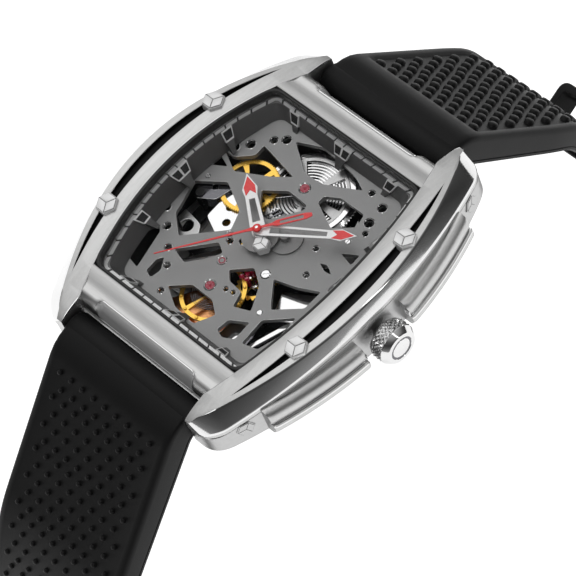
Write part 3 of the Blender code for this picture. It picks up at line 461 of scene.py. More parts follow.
def sector(centre: Flat, inner: float, outer: float, start: float, end: float,
           steps: int = 9) -> list[Flat]:
    """The outline of a window in a wheel.

    Args:
        centre: the wheel's centre.
        inner: the radius of its inner edge.
        outer: the radius of its outer edge.
        start: the angle in degrees at which it starts.
        end: the angle at which it ends.
        steps: how many points each arc has.

    Returns:
        The outline.
    """
    turns = [math.radians(start + (end - start) * i / (steps - 1)) for i in range(steps)]
    far = [(centre[0] + outer * math.cos(t), centre[1] + outer * math.sin(t)) for t in turns]
    near = [(centre[0] + inner * math.cos(t), centre[1] + inner * math.sin(t)) for t in reversed(turns)]
    return far + near


def gear_points(centre: Flat, radius: float, teeth: int, depth: float) -> list[Flat]:
    """The outline of a toothed wheel, from its centre, tip radius, tooth count and tooth depth."""
    points = []
    for i in range(teeth):
        for share, r in ((0.0, radius - depth), (0.22, radius), (0.5, radius), (0.72, radius - depth)):
            t = 2 * math.pi * (i + share) / teeth
            points.append((centre[0] + r * math.cos(t), centre[1] + r * math.sin(t)))
    return points


def pointing(angle: float, outline: Iterable[Flat], centre: Flat = (0, 0)) -> list[Flat]:
    """Turns an outline drawn along +Y to a bearing in degrees clockwise."""
    t = math.radians(-angle)
    return [(centre[0] + x * math.cos(t) - y * math.sin(t), centre[1] + x * math.sin(t) + y * math.cos(t))
            for x, y in outline]


def rounded(points: Sequence[Flat], radius: float, steps: int = 3) -> list[Flat]:
    """Rounds the corners of a polygon.

    Args:
        points: the polygon's corners.
        radius: how far from a corner the rounding starts, at most.
        steps: how many pieces each corner is made of.

    Returns:
        The new outline.
    """
    made = []
    count = len(points)
    for i, corner in enumerate(points):
        here = Vector(corner)
        back, ahead = Vector(points[i - 1]) - here, Vector(points[(i + 1) % count]) - here
        start = here + back.normalized() * min(radius, back.length * 0.45)
        end = here + ahead.normalized() * min(radius, ahead.length * 0.45)
        for k in range(steps + 1):
            t = k / steps
            made.append(tuple(start * (1 - t) ** 2 + here * 2 * t * (1 - t) + end * t ** 2))
    return made


def merge(target: bmesh.types.BMesh, other: bmesh.types.BMesh, material: int | None = None) -> None:
    """Moves one mesh into another.

    Args:
        target: the mesh that grows.
        other: the mesh that goes into it, and is freed.
        material: the material index that its faces get, if they change.
    """
    mesh = bpy.data.meshes.new("merge_step")
    if material is not None:
        for face in other.faces:
            face.material_index = material
    bmesh.ops.recalc_face_normals(other, faces=other.faces)
    other.to_mesh(mesh)
    other.free()
    target.from_mesh(mesh)
    bpy.data.meshes.remove(mesh)


@dataclass
class Bench:
    """Puts finished meshes into the scene and fastens them to the CAD bodies."""

    made: list[str] = field(default_factory=list)

    def put(self, name: str, bm: bmesh.types.BMesh, finishes: Sequence[AnyFinish], body: str,
            replaces: Sequence[str] = (), edge: float = 0.0, edge_finish: int = 0, segments: int = 2,
            sharp: float = 32.0, merge_within: float = 0.0) -> bpy.types.Object:
        """Adds one piece.

        Args:
            name: the piece's name.
            bm: its mesh in millimetres.
            finishes: its finishes, by material index.
            body: the CAD body that it rides on.
            replaces: the CAD nodes that it stands for.
            edge: the width of its edge bevel in millimetres.
            edge_finish: the material index of that bevel.
            segments: how many pieces the bevel is made of.
            sharp: the angle in degrees from which an edge is drawn sharp.
            merge_within: points nearer than this, in millimetres, become one.

        Returns:
            The new object.
        """
        if merge_within:
            bmesh.ops.remove_doubles(bm, verts=bm.verts, dist=merge_within)
        bmesh.ops.recalc_face_normals(bm, faces=bm.faces)
        bmesh.ops.scale(bm, vec=(MM, MM, MM), verts=bm.verts)
        mesh = bpy.data.meshes.new(name)
        bm.to_mesh(mesh)
        bm.free()
        mesh.shade_smooth()
        mesh.set_sharp_from_angle(angle=math.radians(sharp))
        for finish in finishes:
            mesh.materials.append(finish.make())
        piece = bpy.data.objects.new(name, mesh)
        bpy.context.scene.collection.objects.link(piece)
        if edge:
            bevel = piece.modifiers.new("edge", "BEVEL")
            bevel.width = edge * MM
            bevel.segments = segments
            bevel.limit_method = "ANGLE"
            bevel.angle_limit = BEVEL_FROM
            bevel.material = edge_finish
            bevel.harden_normals = True
        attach(piece, body)
        if replaces:
            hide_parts(*replaces)
        self.made.append(name)
        return piece

    def cut(self, piece: bpy.types.Object, tool: bmesh.types.BMesh) -> None:
        """Cuts a tool out of a piece for good.

        Args:
            piece: the piece, whose mesh is replaced.
            tool: a closed mesh in millimetres, which is freed.
        """
        bmesh.ops.recalc_face_normals(tool, faces=tool.faces)
        bmesh.ops.scale(tool, vec=(MM, MM, MM), verts=tool.verts)
        mesh = bpy.data.meshes.new("cutter_mesh")
        tool.to_mesh(mesh)
        tool.free()
        cutter = bpy.data.objects.new("cutter", mesh)
        bpy.context.scene.collection.objects.link(cutter)
        modifier = piece.modifiers.new("cut", "BOOLEAN")
        modifier.operation = "DIFFERENCE"
        modifier.object = cutter
        modifier.solver = "EXACT"
        bpy.context.view_layer.update()
        graph = bpy.context.evaluated_depsgraph_get()
        done = bpy.data.meshes.new_from_object(piece.evaluated_get(graph))
        piece.modifiers.clear()
        old = piece.data
        piece.data = done
        bpy.data.meshes.remove(old)
        bpy.data.objects.remove(cutter)
        bpy.data.meshes.remove(mesh)

    def dress(self, node: str, finish: AnyFinish, edge: float = 0.0) -> None:
        """Gives a CAD node a finish and small edge bevels.

        Args:
            node: the node's name.
            finish: its new finish.
            edge: the width of the bevels in millimetres, or 0 for none.
        """
        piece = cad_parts[node]
        piece.data.materials.clear()
        piece.data.materials.append(finish.make())
        if edge:
            bevel = piece.modifiers.new("edge", "BEVEL")
            bevel.width = edge * MM
            bevel.segments = 2
            bevel.limit_method = "ANGLE"
            bevel.angle_limit = BEVEL_FROM
            bevel.harden_normals = True
        self.made.append(node)


# ---------------------------------------------------------------- case


def smooth_step(value: float) -> float:
    """Eases a value between 0 and 1."""
    value = min(1.0, max(0.0, value))
    return value * value * (3 - 2 * value)


@dataclass
class CaseShape:
    """The lines that every piece of the case follows, in millimetres."""

    top: float = 11.78
    camber: float = 0.0053
    half_length: float = 24.0
    half_width: float = 20.5
    end_half_width: float = 14.9
    bezel_depth: float = 2.4
    flank_bottom: float = 3.6
    bottom: float = 1.35
    opening: tuple[float, float, float] = (15.25, 12.95, 16.1)
    crown_height: float = 5.55

    def rail_top(self, y: float) -> float:
        """Height of the rails' top at y."""
        return self.top - self.camber * y * y

    def mouth(self, y: float) -> float:
        """Half width of the opening between the rails at y."""
        return max(11.25, 15.25 - 0.0097 * y * y)

    def shoulder(self, y: float) -> float:
        """How far out the brushed top of a rail reaches at y."""
        return 19.75 - 0.0131 * y * y

    def flank(self, y: float) -> float:
        """How far out the flank lies at y."""
        return self.half_width - (self.half_width - self.end_half_width) * (y / self.half_length) ** 2

    def groove(self, y: float) -> Flat:
        """Centre and half width of the rail's groove at y."""
        return 17.95 - 0.01023 * y * y, max(0.0, 0.66 * (1 - (y / 18.5) ** 2))


@dataclass
class Bezel:
    """The two rails and the cross bars at 12 and 6."""

    bench: Bench
    shape: CaseShape
    stations: int = 120
    groove_depth: float = 0.7
    nose: float = 2.6  # the length over which a rail's end is rounded
    bar_end: float = 20.32  # how far out a cross bar reaches
    tab_half_width: float = 8.6
    tab_from: float = 19.05  # where a bar's top turns into the tab over the strap

    def rail_section(self, y: float, side: int) -> list[Point]:
        """The section of a rail.

        Args:
            y: where along the case it lies.
            side: 1 for the rail at +X, -1 for the other.

        Returns:
            Its points, from the inner foot over the top to the outer foot.
        """
        s = self.shape
        inner = s.mouth(y)
        centre, half = s.groove(y)
        outer_top, outer = s.shoulder(y), s.flank(y)
        into_nose = max(0.0, (abs(y) - (s.half_length - self.nose)) / self.nose)
        shrink = 1 - 0.55 * (1 - math.sqrt(max(0.0, 1 - into_nose ** 2)))
        drop = 0.34 * into_nose ** 3
        outer_top = inner + max(0.9, outer_top - inner) * shrink
        outer = inner + (outer - inner) * (shrink * 0.94 + 0.06)
        top = s.rail_top(y) - drop
        foot = s.rail_top(y) - s.bezel_depth
        depth = self.groove_depth * smooth_step(half / 0.12)
        lip = 0.05 * smooth_step(half / 0.1)
        points = [
            (inner, foot), (inner, top - 0.16), (inner + 0.04, top - 0.05), (inner + 0.14, top),
            (centre - half - lip, top), (centre - half, top - lip), (centre - half, top - depth),
            (centre + half, top - depth), (centre + half, top - lip), (centre + half + lip, top),
            (outer_top - 0.12, top - 0.02), (outer_top, top - 0.09),
            (outer_top + 0.16, top - 0.26), (outer - 0.16, top - 1.52 + 0.4 * drop),
            (outer - 0.03, top - 1.72 + 0.4 * drop), (outer, top - 1.86 + 0.4 * drop), (outer, foot)]
        return [(side * x, y, z) for x, z in points]

    def rail(self, side: int) -> bmesh.types.BMesh:
        """One rail as a mesh with brushed top, polished bevel and a groove painted near-black as painted
        shade.
        """
        reach = self.shape.half_length
        loops = []
        for i in range(self.stations + 1):
            t = i / self.stations
            y = reach * math.sin(math.pi * (t - 0.5))
            loops.append(self.rail_section(y, side))
        # Band 2 is the groove, in the painted-shade near-black finish.
        bands = [0, 1, 1, 0, 0, 2, 2, 2, 0, 0, 1, 1, 1, 1, 1, 0, 0]
        return loft(loops, materials=bands)

    def bar(self, side: int) -> bmesh.types.BMesh:
        """One cross bar.

        Args:
            side: 1 for the bar at 12, -1 for the one at 6.

        Returns:
            The mesh, with its tab in material 1: a lighter, part-diffuse copy of the brushed steel, painted
                light where the steel would mirror the dark strap.
        """
        s = self.shape
        rows = []
        steps_y, steps_x = 30, 72
        start, end = s.opening[2], self.bar_end
        for j in range(steps_y + 1):
            y = start + (end - start) * j / steps_y
            row = []
            for i in range(steps_x + 1):
                x = (-1 + 2 * i / steps_x) * (s.mouth(y) + 0.12)
                row.append((x, side * y, self.bar_height(abs(x), y)))
            rows.append(row)
        skirt = [(x, side * (end + 0.02), s.rail_top(end) - 4.2) for x, _, _ in rows[-1]]
        back = [(x, side * start, s.rail_top(start) - 2.3) for x, _, _ in rows[0]]
        lip = [(x, side * start, self.bar_height(abs(x), start) - 0.12) for x, _, _ in rows[0]]
        rows[0] = [(x, side * (start + 0.1), z) for x, _, z in rows[0]]
        bm = loft([back, lip, *rows, skirt], ring=False)
        for face in bm.faces:
            middle = face.calc_center_median()
            if abs(middle.x) < self.tab_half_width and abs(middle.y) > self.tab_from:
                face.material_index = 1
        return bm

    def bar_height(self, x: float, y: float) -> float:
        """Height of a bar's surface: a shallow channel, then a tab that drops to the strap.

        Args:
            x: the distance from the middle of the bar.
            y: the distance from the middle of the case.

        Returns:
            The height in millimetres.
        """
        height = self.shape.rail_top(y) - 0.02
        height -= 0.20 * math.exp(-(((y - 18.35) / 0.85) ** 2))
        inside = smooth_step((8.9 - x) / 0.8)
        tab = 2.3 * max(0.0, y - 19.15)
        roll = 0.9 * (max(0.0, y - 19.3) / 0.95) ** 2
        step = 0.14 * smooth_step((y - 18.95) / 0.12)
        return height - inside * (tab - step) - (1 - inside) * roll

    def tab_edge(self, name: str, side: int) -> None:
        """Adds the thin bright line along a tab's step and shoulders.

        Args:
            name: the piece's name.
            side: 1 for the tab at 12, -1 for the one at 6.
        """
        path = [(-9.0, 20.15), (-8.75, 19.6), (-8.35, 19.12), (-7.9, 19.02)]
        path += [(x, 19.02) for x in (-5.0, -2.5, 0.0, 2.5, 5.0)] + [(-x, y) for x, y in reversed(path)]
        loops = []
        for x, y in path:
            z = max(self.bar_height(abs(x), y), self.bar_height(abs(x), y + 0.06)) + 0.03
            loops.append([(x, side * (y - 0.05), z - 0.05), (x, side * (y - 0.05), z),
                          (x, side * (y + 0.05), z), (x, side * (y + 0.05), z - 0.05)])
        self.bench.put(name, loft(loops), [POLISHED], "case", sharp=40)

    def build(self) -> None:
        """Adds the rails, bars and screw heads."""
        for side, name in ((1, "right"), (-1, "left")):
            self.bench.put(f"bezel_rail_{name}", self.rail(side), [BRUSHED_RAIL, POLISHED, GROOVE_PAINTED_SHADE],
                           "case", replaces=["bezel"], sharp=28, merge_within=0.004)
        for side, name in ((1, "upper"), (-1, "lower")):
            # Material 1 of a bar is its tab, which is painted light.
            self.bench.put(f"bezel_bar_{name}", self.bar(side), [BRUSHED_CROSS, SATIN_TAB_PAINTED_LIGHT], "case", sharp=50)
            self.tab_edge(f"bezel_tab_edge_{name}", side)
        for node in ("bezel_screw_lower_left", "bezel_screw_upper_left", "bezel_screw_lower_right",
                     "bezel_screw_upper_right"):
            low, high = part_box(node)
            middle = (low + high) / 2 / MM
            tilt = math.atan(2 * self.shape.camber * middle.y)
            head = hex_emblem(1.52, 0.55)
            turn = Matrix.Rotation(-tilt, 4, "X") @ Matrix.Rotation(math.radians(30), 4, "Z")
            place = Matrix.Translation((middle.x, middle.y, high.z / MM - 0.42))
            bmesh.ops.transform(head, matrix=place @ turn, verts=head.verts)
            self.bench.put(f"{node}_head", head, [HAND_WHITE, SEAM_GREY], "case", replaces=[node],
                           sharp=20)


def hex_emblem(radius: float, height: float) -> bmesh.types.BMesh:
    """A hexagonal head with three raised rhombs, so that it looks like a cube seen from a corner.

    Args:
        radius: from its middle to a corner.
        height: its height above z = 0; a foot goes on below.

    Returns:
        The mesh, with the seams between the rhombs in material 1.
    """
    corners = [(math.cos(math.pi / 3 * k + math.pi / 6), math.sin(math.pi / 3 * k + math.pi / 6))
               for k in range(6)]
    body = []
    for scale, z in ((1.0, -0.8), (1.0, height * 0.62), (0.93, height * 0.8), (0.90, height * 0.8)):
        body.append([(radius * scale * x, radius * scale * y, z) for x, y in corners])
    bm = loft(body)
    for face in bm.faces:
        if abs(face.normal.z) > 0.5 or face.calc_center_median().z > height * 0.75:
            face.material_index = 1
    for k in range(3):
        rhomb = [(0.0, 0.0), corners[2 * k], corners[(2 * k + 1) % 6], corners[(2 * k + 2) % 6]]
        middle = (sum(p[0] for p in rhomb) / 4, sum(p[1] for p in rhomb) / 4)
        rows = []
        for scale, z in ((0.90, height * 0.7), (0.90, height * 0.96), (0.80, height)):
            rows.append([(0.93 * radius * (middle[0] + scale * (x - middle[0])),
                          0.93 * radius * (middle[1] + scale * (y - middle[1])), z) for x, y in rhomb])
        merge(bm, loft(rows), 0)
    return bm


@dataclass
class CaseBody:
    """The case middle, its guard bars and side emblems."""

    bench: Bench
    shape: CaseShape
    guard_span: Flat = (3.75, 17.3)  # where a guard bar starts and ends, from the crown's middle

    def middle(self) -> None:
        """Adds the band of the case with its notches for the strap."""
        s = self.shape
        parting = s.top - s.bezel_depth - 0.06
        w, e, length = s.half_width, s.end_half_width, s.half_length - 0.1
        profile = [
            (-0.30, 0.0, parting, s.camber), (-0.02, 0.0, parting - 0.14, s.camber),
            (0.0, 0.0, parting - 0.3, s.camber), (0.0, 0.0, s.flank_bottom + 0.25, 0.0006),
            (-0.12, -0.1, s.flank_bottom, 0.0), (-0.4, -0.5, s.flank_bottom - 0.2, 0.0),
            (-2.1, -2.9, s.bottom + 0.1, 0.0), (-2.35, -3.1, s.bottom, 0.0)]
        loops = []
        for out, along, z, camber in profile:
            loops.append(lifted(tonneau(w + out, e + out * 0.8, length + along, 2.3), z, camber))
        under = tonneau(14.3, 12.2, 15.2, 2.0)
        for z in (s.bottom, 2.5):
            loops.append(lifted(under, z))
        cavity = tonneau(15.7, 13.3, 16.5, 2.0)
        loops.append(lifted(cavity, 2.5))
        loops.append(lifted(cavity, 6.9))
        loops.append(lifted(tonneau(17.1, 14.3, 17.7, 2.0), parting, s.camber))
        piece = self.bench.put("case_band", loft(loops, closed=True), [BRUSHED_FINE, POLISHED], "case",
                               replaces=["case_middle"], sharp=30)
        for side in (1, -1):
            low, high = sorted((side * 20.34, side * 30))
            notch = loft([[(-11.25, y, z), (11.25, y, z), (11.25, y2, z), (-11.25, y2, z)]
                          for z, y, y2 in ((-1, low, high), (14, low, high))])
            self.bench.cut(piece, notch)
        self.bench.cut(piece, turned_x([(1.25, 14.0), (1.25, 23.0)], 0, s.crown_height, 32))
        piece.data.shade_smooth()
        piece.data.set_sharp_from_angle(angle=math.radians(30))

    def guard(self, name: str, node: str, start: float, end: float, side: int,
              stand: float = 1.0) -> None:
        """Adds one ridged bar on the flank.

        Args:
            name: the piece's name.
            node: the CAD node that it stands for.
            start: the y of one end.
            end: the y of the other end.
            side: 1 for the crown's side, -1 for the other.
            stand: how far it stands out, as a share of a full guard.
        """
        section = [(-0.6, 8.0), (0.1, 8.12), (0.55, 8.05), (0.95, 7.85), (1.24, 7.52), (1.40, 7.1),
                   (1.44, 6.62), (1.36, 6.2), (1.2, 5.98), (1.08, 5.94), (1.04, 5.84), (1.08, 5.76),
                   (1.5, 5.74), (1.68, 5.66), (1.76, 5.5), (1.78, 4.78), (1.70, 4.62), (1.5, 4.56),
                   (1.22, 4.54), (1.16, 4.44), (1.2, 4.34), (1.3, 4.28), (1.28, 4.02), (1.05, 3.84),
                   (0.6, 3.7), (-0.6, 3.66)]
        bands = [0, 0, 0, 0, 0, 0, 0, 0, 1, 1, 1, 1, 0, 1, 0, 1, 1, 1, 1, 1, 0, 0, 0, 0, 0, 0]
        loops = []
        steps = 48
        direction = 1 if end > start else -1
        length = abs(end - start)
        for i in range(steps + 1):
            along = length * i / steps
            y = start + direction * along
            near_end = min(along, length - along)
            swell = 0.90 + 0.10 * smooth_step(near_end / 0.35)
            root = self.shape.flank(y)
            rise = 0.2 * (1 - abs(y) / self.shape.half_length)
            loops.append([(side * (root + (dx if dx < 0 else (dx + rise) * swell * stand)), y, z)
                          for dx, z in section])
        bm = loft(loops, materials=bands)
        for face in bm.faces:
            if len(face.verts) > 6:
                face.material_index = 2
        self.bench.put(name, bm, [BRUSHED_RAIL, POLISHED, SEAM_GREY], "case", replaces=[node], sharp=26)

    def end_mark(self, name: str, y: float, side: int, facing: int) -> None:
        """Adds the small square mark on the end of a guard bar that faces the crown.

        Args:
            name: the piece's name.
            y: where the bar ends.
            side: the side of the case.
            facing: 1 if the bar goes on towards +Y, -1 if towards -Y.
        """
        x = side * (self.shape.flank(y) + 1.15)
        frame_out = [(x - 0.42, 6.9), (x + 0.42, 6.9), (x + 0.42, 6.0), (x - 0.42, 6.0)]
        loops = []
        for depth, scale in ((-0.02, 1.0), (0.1, 0.92), (0.1, 0.5), (-0.02, 0.45)):
            loops.append([(x + (px - x) * scale, y - facing * depth, 6.45 + (pz - 6.45) * scale)
                          for px, pz in frame_out])
        self.bench.put(name, loft(loops, caps=False), [POLISHED], "case", sharp=20)

    def side_emblems(self) -> None:
        """Adds the low three-faced emblems in the flank near the lugs."""
        for node in ("side_screw_lower_left", "side_screw_upper_left", "side_screw_lower_right",
                     "side_screw_upper_right"):
            low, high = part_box(node)
            middle = (low + high) / 2 / MM
            side = 1 if middle.x > 0 else -1
            bulge = self.shape.half_width - self.shape.end_half_width
            slope = math.atan(2 * bulge * middle.y / self.shape.half_length ** 2)
            head = hex_emblem(1.25, 0.26)
            lay = Matrix.Rotation(side * math.pi / 2, 4, "Y")
            turn = Matrix.Rotation(side * slope, 4, "Z")
            x = side * (self.shape.flank(middle.y) - 0.1)
            place = Matrix.Translation((x, middle.y, middle.z))
            bmesh.ops.transform(head, matrix=place @ turn @ lay, verts=head.verts)
            self.bench.put(f"{node}_emblem", head, [BRUSHED_FINE, SEAM_GREY], "case", replaces=[node],
                           sharp=20)

    def back(self) -> None:
        """Adds finishes to the back plate, its window and its screws."""
        self.bench.dress("case_back", BRUSHED_FINE, 0.12)
        self.bench.dress("back_crystal", SAPPHIRE)
        ring = turned([(12.9, 0.02), (12.95, -0.03), (13.25, -0.03), (13.3, 0.02)], count=96)
        self.bench.put("back_rim", ring, [POLISHED], "case", sharp=25)
        for node in ("lower_left", "upper_left", "lower_right", "upper_right"):
            low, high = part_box(f"case_back_screw_{node}")
            middle = (low + high) / 2 / MM
            head = slotted_screw((middle.x, middle.y), 0.86, 0.1, 1.25, up=False)
            self.bench.put(f"back_screw_{node}", head, [POLISHED], "case",
                           replaces=[f"case_back_screw_{node}"], sharp=30)

    def build(self) -> None:
        """Adds every piece of the case body."""
        self.middle()
        near, far = self.guard_span
        self.guard("guard_upper", "crown_guard_upper", near, far, 1)
        self.guard("guard_lower", "crown_guard_lower", -near, -far, 1)
        self.guard("guard_left", "side_bar_left", -far, far, -1, 0.35)
        self.end_mark("guard_mark_upper", near, 1, 1)
        self.end_mark("guard_mark_lower", -near, 1, -1)
        self.side_emblems()
        self.back()


def slotted_screw(centre: Flat, radius: float, low: float, high: float, up: bool = True,
                  turn: float = 35.0) -> bmesh.types.BMesh:
    """A round screw head with a slot.

    Args:
        centre: the middle of the screw.
        radius: of its head.
        low: the height of its lower end.
        high: the height of its upper end.
        up: whether the slot is in the upper end.
        turn: the slot's direction in degrees.

    Returns:
        The mesh.
    """
    half, depth, chamfer = radius * 0.16, radius * 0.4, radius * 0.14
    face, sense = (high, -1) if up else (low, 1)
    other = low if up else high
    bm = bmesh.new()
    for sign in (1, -1):
        rim = []
        limit = math.asin(half / radius)
        for k in range(15):
            t = limit + (math.pi - 2 * limit) * k / 14
            rim.append((radius * math.cos(t), sign * radius * math.sin(t)))
        inner = [(x * (1 - chamfer / radius), max(half, abs(y) - chamfer) * sign) for x, y in rim]
        spin = math.radians(turn)

        def placed(points: Iterable[Flat], z: float) -> list[Point]:
            """Turns and moves flat points onto the screw."""
            return [(centre[0] + x * math.cos(spin) - y * math.sin(spin),
                     centre[1] + x * math.sin(spin) + y * math.cos(spin), z) for x, y in points]

        rows = [placed(rim, face + sense * depth), placed(rim, face + sense * chamfer), placed(inner, face)]
        merge(bm, loft(rows))
    base = turned([(radius, other), (radius, face + sense * depth)], centre, 30)
    merge(bm, base)
    return bm


# ---------------------------------------------------------------- crown


@dataclass
class Crown:
    """The knurled crown with its polished cap."""

    bench: Bench
    height: float = 5.55
    start: float = 21.0
    radius: float = 2.8
    teeth: int = 24
    twist: float = 1.5  # teeth that a line of the knurling crosses in a millimetre

    def knurl(self) -> bmesh.types.BMesh:
        """The grip as a field of small pyramids."""
        rows = []
        around = self.teeth * 8
        steps = 28
        length = 1.75
        for j in range(steps + 1):
            x = self.start + 0.3 + length * j / steps
            row = []
            for i in range(around):
                turn = 2 * math.pi * i / around
                a = self.teeth * i / around + self.twist * (x - self.start)
                b = self.teeth * i / around - self.twist * (x - self.start)
                peak = 1 - max(abs((a % 1) - 0.5), abs((b % 1) - 0.5)) * 2
                fade = smooth_step(min(j, steps - j) / 2.0)
                r = self.radius - 0.3 + 0.36 * peak * fade
                row.append((x, r * math.cos(turn), self.height + r * math.sin(turn)))
            rows.append(row)
        return loft(rows)

    def build(self) -> None:
        """Adds the crown's grip, its cap and its tube."""
        self.bench.put("crown_grip", self.knurl(), [POLISHED], "crown_stem", replaces=["crown"], sharp=18)
        r, x, z = self.radius, self.start, self.height
        foot = [(1.9, x), (2.3, x), (2.62, x + 0.12), (2.66, x + 0.32), (1.5, x + 0.34)]
        self.bench.put("crown_foot", turned_x(foot, 0, z, 72), [POLISHED], "crown_stem", sharp=25)
        cap = [(1.5, x + 2.0), (r - 0.1, x + 2.02), (r - 0.06, x + 2.1), (r - 0.1, x + 2.2),
               (r - 0.42, x + 2.62), (r - 0.52, x + 2.8), (r - 0.6, x + 2.88), (1.78, x + 2.93),
               (1.66, x + 2.9), (1.60, x + 2.8), (1.38, x + 2.8), (1.32, x + 2.86), (1.22, x + 2.9),
               (0.4, x + 2.92), (0.01, x + 2.92)]
        self.bench.put("crown_cap", turned_x(cap, 0, z, 96), [POLISHED], "crown_stem", sharp=22)
        ring = [(1.36, x + 2.8), (1.36, x + 2.84), (1.62, x + 2.84), (1.62, x + 2.8)]
        # The crown ring is black polish, drawn with a painted dark reflection.
        self.bench.put("crown_ring", turned_x(ring, 0, z, 72, closed=True), [MIRROR_PAINTED_REFLECTION], "crown_stem")
        self.bench.dress("crown_tube", POLISHED, 0.04)
        self.bench.dress("winding_stem", POLISHED, 0.03)
        self.bench.dress("setting_lever", POLISHED, 0.05)


# ---------------------------------------------------------------- crystal and dial ring


@dataclass
class Glazing:
    """The crystal, its seal, and the sloping ring with the minute track and hour marks."""

    bench: Bench
    shape: CaseShape
    pane_camber: float = 0.0050
    ring_camber: float = 0.0055
    ring_drop: float = 1.12  # from the case's top to the ring's

    def crystal(self) -> None:
        """Adds the clear pane, bent with the case."""
        w, e, length = (v - 0.40 for v in self.shape.opening)
        top, camber, corner = self.shape.top, self.pane_camber, 1.3
        loops = []
        for inset, drop in ((0.0, 1.0), (0.0, 0.24), (0.22, 0.0)):
            outline = tonneau(w - inset, e - inset, length - inset, corner)
            loops.append(lifted(outline, top - drop, camber))
        rim = loft(loops, caps=False)
        stations, across = 48, 40
        for drop, inset in ((0.0, 0.22), (1.0, 0.0)):
            rows = []
            for j in range(stations + 1):
                y = (length - inset) * math.sin(math.pi * (j / stations - 0.5))
                width = w - inset - (w - e) * (y / length) ** 2
                over = max(0.0, abs(y) - (length - inset - corner)) / corner
                width -= corner * 0.85 * (1 - math.sqrt(max(0.0, 1 - over ** 2)))
                rows.append([(width * (-1 + 2 * i / across), y, top - drop - camber * y * y)
                             for i in range(across + 1)])
            merge(rim, loft(rows, ring=False))
        self.bench.put("crystal_pane", rim, [SAPPHIRE], "case", replaces=["crystal"], sharp=30)

    def seal(self) -> None:
        """Adds the black seal round the pane."""
        w, e, length = self.shape.opening
        loops = []
        for inset, z in ((0.02, -1.3), (0.02, -0.1), (0.08, -0.03), (0.30, -0.03), (0.36, -0.1),
                         (0.36, -1.3)):
            outline = tonneau(w - inset, e - inset, length - inset, 1.25)
            loops.append(lifted(outline, self.shape.top + z, self.shape.camber))
        self.bench.put("seal", loft(loops, closed=True), [GASKET], "case", replaces=["crystal_gasket"],
                       sharp=40)

    def ring(self) -> None:
        """Adds the sloping wall below the crystal, and the bright lip at its top."""
        w, e, length = self.shape.opening
        top, bend = self.shape.top - self.ring_drop, self.ring_camber
        loops = []
        for inset, z, camber in ((0.12, 7.43, 0.0), (0.12, top, bend), (0.50, top, bend),
                                 (0.54, top - 0.05, bend), (0.56, top - 0.16, bend),
                                 (1.05, top - 0.22, bend), (1.10, top - 0.30, bend),
                                 (1.9, 7.62, 0.0), (1.98, 7.43, 0.0)):
            loops.append(lifted(tonneau(w - inset, e - inset, length - inset, 1.2), z, camber))
        self.bench.put("dial_ring", loft(loops, closed=True), [RING_GREY], "case",
                       replaces=["chapter_ring"], sharp=28)
        lip = []
        for inset, z in ((0.44, 0.02), (0.46, 0.07), (0.54, 0.07), (0.56, 0.0)):
            lip.append(lifted(tonneau(w - inset, e - inset, length - inset, 1.2), top + z, bend))
        self.bench.put("ring_lip", loft(lip, closed=True), [POLISHED], "case", sharp=28)

    def edge_point(self, turn: float, inset: float) -> Point:
        """Where a line from the middle meets an outline inside the ring's top edge.

        Args:
            turn: the line's bearing in degrees clockwise from 12.
            inset: how far inside the opening the outline lies.

        Returns:
            The point, at the height of the ring's top.
        """
        w, e, length = (v - inset for v in self.shape.opening)
        dx, dy = math.sin(math.radians(turn)), math.cos(math.radians(turn))
        low, high = 5.0, 25.0
        for _ in range(40):
            r = (low + high) / 2
            x, y = abs(r * dx), abs(r * dy)
            inside = y < length and x < w - (w - e) * (y / length) ** 2
            low, high = (r, high) if inside else (low, r)
        x, y = low * dx, low * dy
        return x, y, self.shape.top - self.ring_drop - self.ring_camber * y * y

    def track(self) -> None:
        """Adds the light minute segments and the black ticks between them."""
        light, dark = bmesh.new(), bmesh.new()
        kinds = ((light, 0.07, 0.93, 0.98, 0.60, -0.10), (dark, -0.05, 0.05, 1.04, 0.56, -0.13))
        for minute in range(60):
            for tool, start, end, inner, outer, rise in kinds:
                rows = []
                for lift in (-0.12, 0.0):
                    for inset in (outer, inner):
                        row = []
                        for k in range(5):
                            turn = 6 * (minute + start + (end - start) * k / 4)
                            x, y, z = self.edge_point(turn, inset)
                            row.append((x, y, z + rise + lift))
                        rows.append(row)
                order = [rows[0], rows[2], rows[3], rows[1]]
                merge(tool, loft([list(section) for section in zip(*order)]))
        self.bench.put("minute_segments", light, [TRACK_LIGHT], "case", sharp=25)
        self.bench.put("minute_ticks", dark, [TRACK_BLACK], "case", sharp=25)

    def mark(self, hour: int, double: bool) -> bmesh.types.BMesh:
        """One hour mark: a bright frame with dark windows on the slope, and the block under it.

        Args:
            hour: the hour, from 0 at the top.
            double: whether it is a wide mark with two windows.

        Returns:
            The mesh, with the frame in material 0, the windows in 1 and the block in 2.
        """
        turn = 30 * hour
        outer = Vector(self.edge_point(turn, 1.04)) - Vector((0, 0, 0.18))
        w, e, length = self.shape.opening
        x, y, _ = self.edge_point(turn, 1.95)
        inner = Vector((x, y, outer.z - 1.15))
        down = inner - outer
        if abs(outer.y) > length - 1.7:
            along = Vector((1, 0, 0)) * (1 if outer.y > 0 else -1)
        else:
            along = Vector((0, -1, 0)) * (1 if outer.x > 0 else -1)
            along = Vector((along.y * 2 * (w - e) * outer.y / length ** 2, along.y, 0)).normalized()
        normal = along.cross(down).normalized()
        if normal.z < 0:
            normal = -normal
        half_top, half_low = (1.5, 1.0) if double else (0.85, 0.6)
        bm = bmesh.new()

        def spot(a: float, b: float, h: float) -> Point:
            """A point of the mark: a across, b down the slope and h off it."""
            half = half_top + (half_low - half_top) * b
            return tuple(outer + along * (a * half) + down * b + normal * h)

